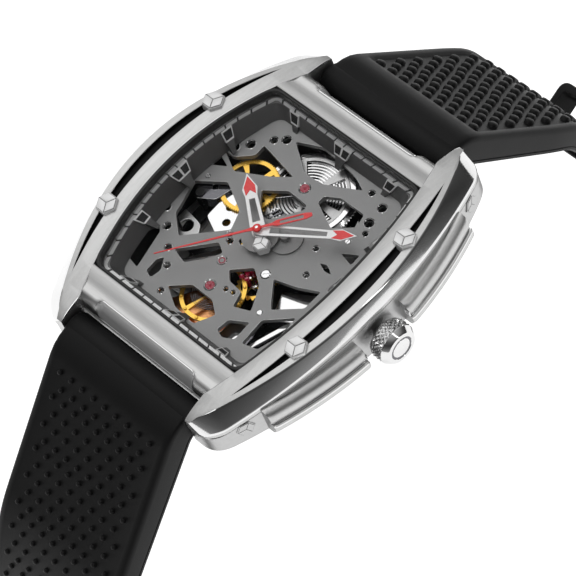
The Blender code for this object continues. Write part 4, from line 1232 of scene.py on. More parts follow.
        def patch(a0: float, a1: float, b0: float, b1: float, low: float,
                  high: float) -> bmesh.types.BMesh:
            """A small block on the slope."""
            return loft([[spot(a0, b0, h), spot(a1, b0, h), spot(a1, b1, h), spot(a0, b1, h)]
                         for h in (low, high)])

        merge(bm, patch(-1, 1, 0, 1, -0.5, 0.10), 0)
        rim = 0.12 if double else 0.2
        merge(bm, patch(-1 + rim, -0.12 if double else 1 - rim, 0.14, 0.84, 0.10, 0.112), 1)
        if double:
            merge(bm, patch(0.12, 1 - rim, 0.14, 0.84, 0.10, 0.112), 1)
        merge(bm, patch(-0.85, 0.85, 1.0, 2.1, -0.9, 0.03), 2)
        return bm

    def build(self) -> None:
        """Adds crystal, seal, ring, track and marks."""
        self.crystal()
        self.seal()
        self.ring()
        self.track()
        for hour in range(12):
            bm = self.mark(hour, hour % 3 == 0)
            self.bench.put(f"hour_mark_{hour:02d}", bm, [HAND_WHITE, TRACK_BLACK, RING_GREY], "case",
                           sharp=25)


# ---------------------------------------------------------------- movement

PLATE_WINDOWS: dict[str, tuple[Flat, ...]] = {
    "eleven": ((-13.5, 3.7), (-13.3, 5.6), (-11.3, 4.9)),
    "top_wheel": ((-13.2, 6.4), (-11.6, 6.4), (-9.6, 8.2), (-9.7, 9.9), (-3.3, 8.8), (-5.7, 7.1),
                  (-10.2, 4.9)),
    "barrel_upper": ((-6.8, 12.7), (-3.3, 14.2), (-0.3, 14.0), (3.2, 13.5), (5.3, 12.6), (0.4, 10.2),
                     (-2.6, 10.1)),
    "barrel_right": ((1.9, 9.1), (3.9, 10.2), (7.9, 10.2), (8.4, 8.3), (5.9, 6.3), (1.9, 8.0)),
    "centre_left": ((-5.2, 5.0), (-2.3, 7.0), (1.0, 6.9), (1.3, 6.2), (-1.6, 2.2), (-3.4, 2.9)),
    "ten": ((-13.3, 0.8), (-9.6, 3.3), (-5.3, 1.2), (-4.2, -1.4), (-9.0, -6.0), (-10.6, -4.8), (-11.8, -3.9),
            (-12.2, -2.4)),
    "nine": ((-13.0, -9.8), (-13.4, -8.2), (-12.4, -6.4), (-11.4, -7.0), (-10.0, -12.4), (-12.0, -12.0)),
    "eight": ((-8.7, -12.0), (-8.8, -10.1), (-8.2, -9.3), (-7.2, -10.9), (-7.5, -12.4)),
    "centre_low": ((-8.0, -7.7), (-4.1, -3.6), (-2.6, -4.4), (-3.5, -6.0), (-5.6, -8.3)),
    "balance_left": ((-4.8, -11.9), (-2.4, -9.9), (1.2, -9.9), (3.1, -11.2), (1.7, -13.7), (-2.0, -13.4)),
    "balance_right": ((-0.2, -5.6), (2.2, -3.5), (4.5, -4.9), (6.3, -8.1), (4.0, -9.0), (3.3, -6.9),
                      (1.0, -6.7)),
    "four": ((5.3, -3.2), (8.4, -2.3), (11.4, -0.9), (11.4, -3.8), (8.1, -6.5)),
    "five": ((8.6, -12.0), (8.3, -8.2), (11.5, -5.4), (11.7, -8.5), (10.8, -11.4)),
    "six": ((4.7, -12.5), (4.9, -10.7), (7.3, -9.3), (7.5, -12.1), (6.0, -12.9)),
    "two": ((9.5, 4.5), (11.6, 5.7), (11.7, 4.0)),
    "three": ((8.3, 1.9), (9.3, 2.3), (10.7, 1.6), (9.7, 1.4)),
}
# Holes and screws of the plate, as (x, y, radius).
PLATE_HOLES: tuple[tuple[float, float, float], ...] = (
    (-12.5, 7.5, 0.5), (-11.2, 9.0, 0.58), (-9.2, 11.2, 0.5), (-7.9, 12.2, 0.58), (-13.2, -4.0, 0.45),
    (-11.2, -5.9, 0.5), (-8.8, -8.0, 0.45), (-7.0, -9.9, 0.42), (-5.0, -12.9, 0.4), (-3.1, -2.6, 0.42),
    (-1.7, -1.7, 0.42), (1.5, -7.8, 0.32), (2.6, -7.6, 0.3), (9.1, 12.2, 0.58), (9.3, 9.7, 0.62),
    (10.0, 8.3, 0.36), (6.5, 13.0, 0.4), (6.5, 3.1, 0.36), (8.2, -0.3, 0.4),
)
PLATE_SCREWS: tuple[tuple[float, float, float], ...] = (
    (4.0, -3.3, 0.62), (9.0, 6.2, 0.36), (7.3, -7.6, 0.36), (-12.3, 2.4, 0.3),
)


@dataclass
class SkeletonPlate:
    """The blasted plate under the hands with its windows, holes, screws and jewels."""

    bench: Bench
    top: float = 7.35
    low: float = 6.65

    def build(self) -> None:
        """Adds the plate and what is set in it."""
        barrel = centre_of("mainspring_barrel")
        balance = centre_of("balance_wheel")
        outline = tonneau(14.9, 12.6, 15.6, 1.4)
        holes = [rounded(points, 0.3) for points in PLATE_WINDOWS.values()]
        holes += [disc_points((x, y), r, 24) for x, y, r in PLATE_HOLES]
        holes += [disc_points((x, y), r * 1.12, 24) for x, y, r in PLATE_SCREWS]
        holes += [disc_points((0, 0), 0.95, 32)]
        holes += [disc_points(place, 0.84, 32) for place in (barrel, balance)]
        plate = pierced(outline, holes, self.low, self.top)
        self.bench.put("skeleton_plate", plate, [BLASTED_PLATE, POLISHED], "case", replaces=["main_plate"],
                       edge=0.11, edge_finish=1, sharp=30)
        rims = bmesh.new()
        for x, y, r in PLATE_HOLES:
            rim = [(r + 0.02, self.top - 0.3), (r + 0.13, self.top + 0.02), (r + 0.07, self.top + 0.05),
                   (r - 0.04, self.top - 0.05), (r - 0.04, self.top - 0.4)]
            merge(rims, turned(rim, (x, y), 28, closed=True))
        self.bench.put("plate_hole_rims", rims, [POLISHED], "case", sharp=30)
        for i, (x, y, r) in enumerate(PLATE_SCREWS):
            screw = slotted_screw((x, y), r, self.low, self.top + 0.06, turn=40 + 55 * i)
            self.bench.put(f"plate_screw_{i}", screw, [POLISHED], "case", sharp=30)
        for name, place in (("barrel_jewel", barrel), ("balance_jewel", balance)):
            self.jewel(f"{name}_stone", place, 0.6, self.top + 0.02, [name])
        for i, (x, y, r) in enumerate(((-1.9, -5.2, 0.5), (-3.9, -1.9, 0.3))):
            self.jewel(f"small_jewel_{i}", (x, y), r, self.top + 0.02, [])

    def jewel(self, name: str, place: Flat, radius: float, top: float, nodes: Sequence[str]) -> None:
        """Adds a ruby in a bright setting.

        Args:
            name: the stone's name.
            place: its centre.
            radius: the stone's radius.
            top: the height of the stone's rim.
            nodes: the CAD nodes that it stands for.
        """
        stone = [(radius, top - 0.5), (radius, top - 0.06), (radius * 0.8, top + 0.02),
                 (radius * 0.35, top - 0.06), (radius * 0.16, top - 0.12), (0.01, top - 0.3)]
        self.bench.put(name, turned(stone, place, 32), [RUBY], "case", replaces=nodes, sharp=40)
        setting = [(radius + 0.02, top - 0.4), (radius + 0.2, top - 0.4), (radius + 0.2, top - 0.02),
                   (radius + 0.12, top + 0.05), (radius + 0.02, top - 0.02)]
        self.bench.put(f"{name}_setting", turned(setting, place, 32, closed=True), [POLISHED], "case",
                       sharp=30)


def centre_of(node: str) -> Flat:
    """The plan centre of a CAD node, in millimetres."""
    low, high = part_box(node)
    middle = (low + high) / 2 / MM
    return middle.x, middle.y


@dataclass
class Train:
    """Barrel, toothed wheels, escapement and balance."""

    bench: Bench

    def wheel(self, node: str, body: str, teeth: int, depth: float, low: float, high: float,
              finish: Finish, spokes: int, rim: float) -> None:
        """Adds a toothed, spoked wheel with its pinion in place of a CAD disc.

        Args:
            node: the CAD node that it stands for.
            body: the body that it rides on.
            teeth: how many teeth it has.
            depth: the depth of a tooth.
            low: the height of the wheel's underside.
            high: the height of its top.
            finish: the wheel's finish.
            spokes: how many spokes it has.
            rim: the width of the rim with its teeth.
        """
        place = centre_of(node)
        a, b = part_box(node)
        radius = (b.x - a.x) / 2 / MM + depth * 0.4
        gap = 360 / spokes
        windows = [sector(place, 0.26 * radius, radius - rim, gap * i + 7, gap * (i + 1) - 7)
                   for i in range(spokes)]
        disc = pierced(gear_points(place, radius, teeth, depth), windows, low, high)
        bm = bmesh.new()
        merge(bm, disc, 0)
        merge(bm, turned([(0.2, a.z / MM), (0.22, low - 0.4), (0.55, low - 0.3), (0.6, high + 0.08),
                          (0.3, high + 0.12), (0.16, b.z / MM)], place, 24), 1)
        self.bench.put(f"{node}_toothed", bm, [finish, POLISHED], body, replaces=[node], edge=0.03,
                       segments=1, sharp=30)

    def barrel(self) -> None:
        """Adds the mainspring barrel: drum, toothed rim, spoked cover and the coils inside."""
        place = centre_of("mainspring_barrel")
        rim = pierced(gear_points(place, 6.68, 88, 0.22), [disc_points(place, 5.2, 64)], 4.85, 5.2)
        self.bench.put("barrel_teeth", rim, [POLISHED], "barrel_body", replaces=["mainspring_barrel"],
                       edge=0.03, segments=1)
        drum = turned([(5.9, 4.7), (6.2, 4.75), (6.2, 5.7), (6.1, 5.85), (5.5, 5.9), (5.42, 5.8), (5.42, 4.9),
                       (1.0, 4.86), (1.0, 4.7)], place, 96, closed=True)
        self.bench.put("barrel_drum", drum, [POLISHED], "barrel_body", sharp=25)
        windows = [sector(place, 1.9, 5.0, 72 * i + 8, 72 * i + 64, 14) for i in range(5)]
        cover = pierced(disc_points(place, 5.4, 96), [*windows, disc_points(place, 0.7, 24)], 5.72, 5.9)
        self.bench.put("barrel_cover", cover, [BRUSHED_FINE, POLISHED], "barrel_body", edge=0.07,
                       edge_finish=1)
        coils = bmesh.new()
        for k in range(9):
            r = 1.5 + 0.42 * k
            leaf = [(r, 4.9), (r + 0.16, 4.9), (r + 0.16, 5.6), (r, 5.6)]
            merge(coils, turned(leaf, place, 72, closed=True))
        self.bench.put("mainspring_coils", coils, [POLISHED], "barrel_body", sharp=30)
        ratchet = bmesh.new()
        merge(ratchet, pierced(gear_points(place, 3.36, 34, 0.3), [], 3.9, 4.4), 0)
        merge(ratchet, turned([(0.5, 3.1), (0.5, 6.5)], place, 24), 0)
        self.bench.put("ratchet_toothed", ratchet, [BRUSHED_FINE], "ratchet_body",
                       replaces=["ratchet_wheel"], edge=0.04, segments=1)
        wheel = centre_of("crown_wheel")
        self.bench.put("crown_wheel_toothed", pierced(gear_points(wheel, 4.72, 48, 0.3), [], 3.9, 4.4),
                       [BRUSHED_FINE], "crown_wheel_body", replaces=["crown_wheel"], edge=0.04, segments=1)

    def escapement(self) -> None:
        """Adds the balance and its spring, and dresses the fork."""
        place = centre_of("balance_wheel")
        windows = [sector(place, 0.9, 3.75, 120 * i + 20, 120 * i + 130, 20) for i in range(3)]
        bm = bmesh.new()
        merge(bm, pierced(disc_points(place, 4.3, 96), windows, 5.45, 5.8), 0)
        for k in range(12):
            t = 2 * math.pi * (k + 0.5) / 12
            stud = (place[0] + 4.02 * math.cos(t), place[1] + 4.02 * math.sin(t))
            merge(bm, turned([(0.2, 5.75), (0.2, 5.93), (0.14, 5.98)], stud, 12), 0)
        staff = [(0.12, 3.15), (0.2, 3.3), (0.2, 5.0), (0.5, 5.05), (0.5, 5.3), (0.34, 5.35),
                 (0.34, 6.0), (0.15, 6.05), (0.12, 6.6)]
        merge(bm, turned(staff, place, 24), 1)
        self.bench.put("balance_rim", bm, [GILT, POLISHED], "balance_body", replaces=["balance_wheel"],
                       edge=0.05, sharp=30)
        loops = []
        steps, turns = 520, 9.0
        for i in range(steps + 1):
            t = i / steps
            angle, r = 2 * math.pi * turns * t, 0.5 + 2.3 * t
            across = [(r - 0.022, 6.02), (r + 0.022, 6.02), (r + 0.022, 6.2), (r - 0.022, 6.2)]
            loops.append([(place[0] + q * math.cos(angle), place[1] + q * math.sin(angle), z)
                          for q, z in across])
        # The hairspring is black polish, drawn with a painted dark reflection.
        self.bench.put("hairspring_coils", loft(loops), [MIRROR_PAINTED_REFLECTION], "case", replaces=["hairspring"],
                       sharp=40)
        self.bench.dress("pallet_fork", POLISHED, 0.03)

    def build(self) -> None:
        """Adds the whole train."""
        self.barrel()
        self.wheel("second_wheel", "second_body", 77, 0.16, 6.05, 6.3, GILT, 5, 0.62)
        self.wheel("third_wheel", "third_body", 75, 0.18, 4.2, 4.45, GILT, 5, 0.6)
        self.wheel("escape_wheel", "escape_body", 20, 0.26, 4.6, 4.8, GILT, 4, 0.62)
        self.fourth()
        self.escapement()

    def fourth(self) -> None:
        """Adds the fourth wheel with the long arbor that carries the seconds hand."""
        windows = [sector((0, 0), 1.2, 3.95, 72 * i + 7, 72 * i + 65) for i in range(5)]
        bm = bmesh.new()
        merge(bm, pierced(gear_points((0, 0), 4.6, 80, 0.18), windows, 3.5, 3.75), 0)
        arbor = [(0.22, 3.1), (0.22, 3.4), (0.4, 3.4), (0.4, 4.1), (0.52, 4.15), (0.52, 4.5),
                 (0.3, 4.55), (0.16, 6.0), (0.16, 9.8)]
        merge(bm, turned(arbor, count=24), 1)
        self.bench.put("fourth_wheel_toothed", bm, [GILT, POLISHED], "seconds_body",
                       replaces=["fourth_wheel"], edge=0.03, segments=1, sharp=30)


@dataclass
class MovementBase:
    """The bridges under the skeleton plate, the rotor, and small fittings between them."""

    bench: Bench

    def fitting(self, name: str, points: Sequence[Flat], low: float, high: float, finish: Finish,
                edge: float = 0.1, holes: Sequence[Sequence[Flat]] = ()) -> None:
        """Adds one flat lever or bridge with bright edges.

        Args:
            name: the piece's name.
            points: the corners of its outline.
            low: the height of its underside.
            high: the height of its top.
            finish: the finish of its faces.
            edge: the width of its bright bevel.
            holes: the outlines of its holes.
        """
        bm = pierced(rounded(points, 0.4), holes, low, high)
        self.bench.put(name, bm, [finish, POLISHED], "case", edge=edge, edge_finish=1, sharp=30)

    def build(self) -> None:
        """Adds bridges, levers and the rotor's finishes."""
        # Movement ring and train bridge: dark grey plus painted shade, as they lie under the skeleton plate.
        self.bench.dress("movement_ring", BLASTED_PAINTED_SHADE, 0.15)
        self.bench.dress("train_bridge", BLASTED_PAINTED_SHADE, 0.08)
        self.bench.dress("balance_cock", BRUSHED_FINE, 0.08)
        self.bench.dress("rotor", BRUSHED_FINE, 0.08)
        self.bench.dress("rotor_bearing", POLISHED, 0.04)
        # The date block and the five bridge are black polish, drawn with a painted dark reflection.
        self.fitting("date_block", ((-13.2, 1.2), (-11.4, 4.6), (-8.8, 3.9), (-9.6, 0.8), (-12.0, -0.6)),
                     4.6, 6.45, MIRROR_PAINTED_REFLECTION, 0.14, [disc_points((-11.0, 2.1), 0.5, 4)])
        self.fitting("ten_bridge", ((-9.4, 3.2), (-6.3, 2.2), (-4.7, -0.4), (-6.4, -2.6), (-9.2, -1.4)),
                     5.6, 5.9, POLISHED, 0.08,
                     [disc_points((-7.6, 1.2), 0.45), disc_points((-6.4, -0.6), 0.5)])
        self.fitting("nine_lever", ((-12.6, -2.0), (-9.2, -2.6), (-7.4, -5.2), (-9.4, -6.4), (-12.4, -4.4)),
                     5.0, 5.4, BRUSHED_FINE, holes=[disc_points((-10.6, -3.8), 0.9)])
        self.fitting("barrel_bridge", ((2.2, 4.0), (8.4, 4.4), (9.4, 7.4), (7.2, 9.6), (9.9, 3.0),
                                       (7.0, 0.6), (3.0, 1.4)), 6.1, 6.4, BLASTED_PLATE)
        self.fitting("four_reflector", ((6.2, -3.2), (11.9, 0.0), (12.6, -4.2), (8.0, -7.2)), 5.0, 5.3,
                     POLISHED)
        self.fitting("five_bridge", ((7.6, -12.6), (7.6, -7.4), (12.4, -4.4), (12.4, -9.0), (10.8, -12.6)),
                     5.2, 5.6, MIRROR_PAINTED_REFLECTION, 0.12)
        self.fitting("five_bar", ((8.7, -11.4), (9.3, -11.6), (11.2, -6.2), (10.6, -5.8)), 5.7, 6.2,
                     POLISHED)
        self.fitting("six_bridge", ((4.0, -12.8), (4.2, -10.2), (7.2, -8.9), (7.6, -12.8)), 5.0, 5.5,
                     POLISHED, 0.12)
        self.fitting("low_bridge", ((-8.0, -8.4), (-4.0, -3.0), (-2.2, -4.2), (-4.4, -9.4)), 5.2, 5.6,
                     POLISHED)
        self.fitting("balance_seat", ((-5.6, -12.6), (-3.0, -8.8), (1.6, -8.6), (3.8, -11.2), (2.2, -14.0),
                                      (-1.0, -14.4)), 4.0, 4.4, COPPER)
        self.fitting("centre_bridge", ((-6.2, 4.8), (-3.0, 7.2), (1.8, 4.8), (1.4, 2.2), (-2.6, 0.6)),
                     5.3, 5.6, BRUSHED_FINE,
                     holes=[disc_points((-2.4, 4.2), 0.7), disc_points((-0.2, 3.4), 0.5)])
        self.comb()
        self.cluster()

    def comb(self) -> None:
        """Adds the row of slanting teeth at the middle."""
        width, lean, reach, pitch, climb = 0.26, 0.74, 1.8, 0.62, 0.1
        comb = bmesh.new()
        for k in range(9):
            x, y = -3.2 + pitch * k, 2.9 + climb * k
            tooth = [(x, y), (x + width, y), (x + lean + width, y + reach), (x + lean, y + reach)]
            merge(comb, pierced(tooth, [], 5.65, 5.95))
        # The comb is black polish, drawn with a painted dark reflection.
        self.bench.put("click_comb", comb, [MIRROR_PAINTED_REFLECTION], "case", edge=0.03, segments=1)

    def cluster(self) -> None:
        """Adds the spiral group of small stones beside the escape wheel."""
        cluster = bmesh.new()
        for k in range(7):
            turn, reach = 2.4 * k, 0.35 + 0.16 * k
            spot = (1.0 + reach * math.cos(turn), -4.3 + reach * math.sin(turn))
            top = 6.2 + 0.04 * k
            stone = [(0.34, 5.0), (0.34, top), (0.2, top + 0.15), (0.01, top + 0.1)]
            merge(cluster, turned(stone, spot, 16))
        self.bench.put("jewel_cluster", cluster, [RUBY], "case", sharp=40)


# ---------------------------------------------------------------- hands


@dataclass
class Hands:
    """The three hands and the wheels under them."""

    bench: Bench
    hour_angle: float = -55.2
    minute_angle: float = 57.9
    second_angle: float = 217.2

    def hour(self) -> None:
        """Adds the hour hand with its red arrow and the small three-faced weight at its tail."""
        outline = [(0.62, -0.3), (0.95, 0.6), (0.78, 5.4), (0.98, 6.6), (0.0, 8.9), (-0.98, 6.6),
                   (-0.78, 5.4), (-0.95, 0.6), (-0.62, -0.3)]
        slot = [(0.50, 1.5), (0.38, 5.0), (-0.38, 5.0), (-0.50, 1.5)]
        holes = [pointing(self.hour_angle, slot), disc_points((0, 0), 0.34, 24)]
        bm = bmesh.new()
        merge(bm, pierced(pointing(self.hour_angle, outline), holes, 8.95, 9.15), 0)
        merge(bm, turned([(0.85, 8.1), (0.85, 9.18), (0.72, 9.18), (0.72, 8.1)], (0, 0), 40, closed=True), 0)
        self.bench.put("hour_hand_blade", bm, [HAND_WHITE], "hour_body", replaces=["hour_hand"],
                       edge=0.05, sharp=30)
        arrow = [(0, 8.45), (0.74, 6.85), (0.66, 5.6), (0, 6.3), (-0.66, 5.6), (-0.74, 6.85)]
        self.arrow("hour_hand_arrow", arrow, self.hour_angle, 9.14, 9.19, "hour_body")
        tail = hex_emblem(1.12, 0.42)
        spot = pointing(self.hour_angle, [(0, -1.75)])[0]
        turn = Matrix.Rotation(math.radians(-self.hour_angle + 30), 4, "Z")
        place = Matrix.Translation((spot[0], spot[1], 8.78))
        bmesh.ops.transform(tail, matrix=place @ turn, verts=tail.verts)
        self.bench.put("hour_hand_tail", tail, [HAND_WHITE, SEAM_GREY], "hour_body", sharp=20)

    def arrow(self, name: str, points: Sequence[Flat], angle: float, low: float, high: float,
              body: str) -> None:
        """Adds the red arrow inlaid near a hand's tip."""
        bm = pierced(pointing(angle, points), [], low, high)
        self.bench.put(name, bm, [RED], body, edge=0.02, segments=1)

    def minute(self) -> None:
        """Adds the minute hand with its red arrow."""
        outline = [(0.55, -0.4), (0.8, 0.5), (0.62, 9.3), (0.85, 10.7), (0.0, 12.8), (-0.85, 10.7),
                   (-0.62, 9.3), (-0.8, 0.5), (-0.55, -0.4), (0, -0.7)]
        slot = [(0.42, 1.6), (0.30, 8.9), (-0.30, 8.9), (-0.42, 1.6)]
        holes = [pointing(self.minute_angle, slot), disc_points((0, 0), 0.3, 24)]
        bm = bmesh.new()
        merge(bm, pierced(pointing(self.minute_angle, outline), holes, 9.4, 9.58), 0)
        merge(bm, turned([(0.62, 7.45), (0.62, 9.6), (0.42, 9.6), (0.42, 7.45)], (0, 0), 40, closed=True), 0)
        self.bench.put("minute_hand_blade", bm, [HAND_WHITE], "minute_body", replaces=["minute_hand"],
                       edge=0.05, sharp=30)
        arrow = [(0, 12.35), (0.66, 10.85), (0.56, 9.5), (0, 10.2), (-0.56, 9.5), (-0.66, 10.85)]
        self.arrow("minute_hand_arrow", arrow, self.minute_angle, 9.57, 9.62, "minute_body")

    def seconds(self) -> None:
        """Adds the red seconds hand with its open counterweight and hub."""
        outline = [(0.16, -0.6), (0.2, -2.0), (0.42, -2.5), (0.46, -6.2), (0.24, -7.0), (-0.24, -7.0),
                   (-0.46, -6.2), (-0.42, -2.5), (-0.2, -2.0), (-0.16, -0.6), (-0.34, 0.1), (-0.17, 1.4),
                   (-0.07, 13.1), (0.07, 13.1), (0.17, 1.4), (0.34, 0.1)]
        slot = [(0.2, -2.9), (0.24, -5.9), (-0.24, -5.9), (-0.2, -2.9)]
        bm = bmesh.new()
        holes = [pointing(self.second_angle, slot)]
        merge(bm, pierced(pointing(self.second_angle, outline), holes, 9.85, 9.97), 0)
        hub = [(0.56, 9.83), (0.56, 10.0), (0.44, 10.1), (0.2, 10.13), (0.01, 10.13)]
        merge(bm, turned(hub, count=40), 0)
        self.bench.put("seconds_hand_blade", bm, [RED], "seconds_body", replaces=["seconds_hand"],
                       edge=0.025, segments=1, sharp=35)
        cap = turned([(0.2, 10.1), (0.2, 10.17), (0.12, 10.19), (0.01, 10.19)], count=24)
        self.bench.put("seconds_hub_pin", cap, [POLISHED], "seconds_body", sharp=35)

    def build(self) -> None:
        """Adds the hands and dresses the wheels under them."""
        self.hour()
        self.minute()
        self.seconds()
        self.bench.dress("hour_wheel", BLASTED_PLATE, 0.03)
        self.bench.dress("minute_wheel", BLASTED_PLATE, 0.03)
        self.bench.dress("cannon_pinion", POLISHED, 0.02)


# ---------------------------------------------------------------- strap


@dataclass
class StrapHalf:
    """One half of the rubber strap: a smooth heel, a studded field in a raised border, and its end."""

    bench: Bench
    node: str
    side: int  # 1 for the half at 12, -1 for the half at 6
    stretches: tuple[Flat, ...]  # (length, turn downwards in degrees) of each
    stud_radius: float
    stud_height: float
    recess: float
    stud_rows_from: float
    stud_border: float
    studs_until: float
    width: tuple[float, float] = (22.0, 18.4)
    thickness: tuple[float, float] = (4.3, 2.7)
    bar: Flat = (22.75, 5.9)
    start_turn: float = 8.0
    taper: tuple[float, float] = (0.25, 0.55)
    thin_from: float = 0.75
    tip: float = 0.0
    hole_pitch: float = 2.38
    hole_radius: float = 1.1
    stud_pitch: Flat = (2.05, 1.9)  # across and along the strap

    def path(self, step: float = 0.8) -> list[Spot]:
        """Walks down the strap from its spring bar.

        Args:
            step: about how far apart the points are.

        Returns:
            The points of its middle line.
        """
        y, z, heading, run = self.side * self.bar[0], self.bar[1], self.start_turn, 0.0
        points = [(run, y, z, heading)]
        for length, turn in self.stretches:
            count = max(2, round(length / step))
            for _ in range(count):
                heading += turn / count / 2
                y += self.side * math.cos(math.radians(heading)) * length / count
                z -= math.sin(math.radians(heading)) * length / count
                heading += turn / count / 2
                run += length / count
                points.append((run, y, z, heading))
        return points

    def size_at(self, run: float, total: float) -> Flat:
        """The strap's size at one place.

        Args:
            run: the distance down the strap.
            total: the strap's length.

        Returns:
            Its half width and half thickness.
        """
        t = run / total
        narrowed = min(1.0, max(0.0, (t - self.taper[0]) / (self.taper[1] - self.taper[0])))
        width = self.width[0] + (self.width[1] - self.width[0]) * smooth_step(narrowed)
        thick = self.thickness[0] + (self.thickness[1] - self.thickness[0]) * min(1.0, t / self.thin_from)
        if self.tip:
            left = total - run
            if left < self.tip:
                width -= 7.0 * (1 - math.sqrt(max(0.0, 1 - (1 - left / self.tip) ** 2)))
        return width / 2, thick / 2

    def section(self, run: float, total: float) -> list[Flat]:
        """The outline across the strap.

        Args:
            run: the distance down the strap.
            total: the strap's length.

        Returns:
            Its points, as (x, height above the middle line) pairs.
        """
        half, deep = self.size_at(run, total)
        sunk = self.recess * smooth_step((run - self.stud_rows_from + 1.2) / 0.7)
        sunk *= smooth_step((self.studs_until + 1.4 - run) / 0.7)
        edge = self.stud_border
        right = [(half, deep - 0.75), (half - 0.06, deep - 0.42), (half - 0.24, deep - 0.14),
                 (half - 0.52, deep), (half - edge + 0.62, deep),
                 (half - edge + 0.42, deep - 0.1 * sunk / 0.3),
                 (half - edge + 0.22, deep - sunk), (half * 0.55, deep - sunk + 0.02)]
        left = [(-x, t) for x, t in reversed(right)]
        under_left = [(-half, -deep + 0.9), (-half + 0.1, -deep + 0.86), (-half + 0.12, -deep + 0.72),
                      (-half + 0.02, -deep + 0.66), (-half + 0.05, -deep + 0.3), (-half + 0.45, -deep),
                      (-half * 0.6, -deep + 0.18), (-half * 0.45, -deep + 0.02), (-half * 0.12, -deep)]
        under_right = [(-x, t) for x, t in reversed(under_left)]
        return right + left + under_left + under_right

    def at(self, spot: Spot, x: float, lift: float, along: float = 0.0) -> Point:
        """A point near one spot of the middle line.

        Args:
            spot: the spot.
            x: how far across the strap.
            lift: how far out of the strap's middle.
            along: how much further down the strap.

        Returns:
            The point in millimetres.
        """
        _, y, z, heading = spot
        turn = math.radians(heading)
        return (x, y + self.side * (math.sin(turn) * lift + math.cos(turn) * along),
                z + math.cos(turn) * lift - math.sin(turn) * along)

    def heel(self) -> bmesh.types.BMesh:
        """The rolled heel round the spring bar."""
        y, z = self.side * self.bar[0], self.bar[1]
        rim = 10.98
        profile = [(0.95, -rim), (1.9, -rim), (2.15, -rim + 0.08), (2.25, -rim + 0.3),
                   (2.25, rim - 0.3), (2.15, rim - 0.08), (1.9, rim), (0.95, rim)]
        return turned_x(profile, y, z, 64, closed=True)

    def band(self) -> bmesh.types.BMesh:
        """The strap's body as one skin."""
        points = self.path()
        total = points[-1][0]
        loops = []
        for spot in points:
            loops.append([self.at(spot, x, lift) for x, lift in self.section(spot[0], total)])
        return loft(loops)

    def studs(self) -> bmesh.types.BMesh:
        """The staggered studs."""
        points = self.path(0.4)
        total = points[-1][0]
        bm = bmesh.new()
        across, along = self.stud_pitch
        run, row = self.stud_rows_from, 0
        while run < self.studs_until:
            spot = min(points, key=lambda p: abs(p[0] - run))
            half, deep = self.size_at(run, total)
            base = deep - self.recess
            limit = half - self.stud_border - self.stud_radius * 0.6
            count = int(2 * limit / across) + 1
            shift = 0.5 * across if row % 2 else 0.0
            for k in range(-count, count + 1):
                x = k * across + shift
                if abs(x) > limit:
                    continue
                self.stud(bm, spot, x, base)
            run += along
            row += 1
        return bm

    def stud(self, bm: bmesh.types.BMesh, spot: Spot, x: float, base: float) -> None:
        """Adds one domed stud.

        Args:
            bm: the mesh that it goes into.
            spot: the spot of the middle line that it stands over.
            x: how far across the strap it is.
            base: how far above the middle line it starts.
        """
        r, h = self.stud_radius, self.stud_height
        rings = []
        for share, lift in ((1.12, -0.1), (1.0, 0.06 * h), (0.94, 0.62 * h), (0.78, 0.88 * h), (0.42, h)):
            ring = [self.at(spot, x + dx, base + lift, along)
                    for dx, along, _ in circle(r * share, count=12)]
            rings.append([bm.verts.new(point) for point in ring])
        for low, high in zip(rings, rings[1:]):
            for i in range(12):
                j = (i + 1) % 12
                bm.faces.new((low[i], low[j], high[j], high[i]))
        bm.faces.new(rings[-1])

    def build(self) -> None:
        """Adds the strap half."""
        body = f"{self.node}_body"
        piece = self.bench.put(f"{self.node}_band", self.band(), [RUBBER], body, replaces=[self.node],
                               sharp=44)
        self.bore(piece)
        self.bench.put(f"{self.node}_heel", self.heel(), [RUBBER], body, sharp=40)
        self.bench.put(f"{self.node}_studs", self.studs(), [RUBBER], body, sharp=46)

    def bore(self, piece: bpy.types.Object) -> None:
        """Cuts the bore for the spring bar and, in the half with a tip, the holes for the tang."""
        y, z = self.side * self.bar[0], self.bar[1]
        self.bench.cut(piece, turned_x([(0.97, -12), (0.97, 12)], y, z, 32))
        if self.tip:
            points = self.path()
            total = points[-1][0]
            for station in (3, 6, 9, 12, 15):
                spot = min(points, key=lambda p: abs(p[0] - (total - self.hole_pitch * station)))
                loops = []
                for lift in (-4.0, 4.0):
                    ring = circle(self.hole_radius, count=28)
                    loops.append([self.at(spot, x, lift, along) for x, along, _ in ring])
                self.bench.cut(piece, loft(loops))
        piece.data.shade_smooth()
        piece.data.set_sharp_from_angle(angle=math.radians(44))


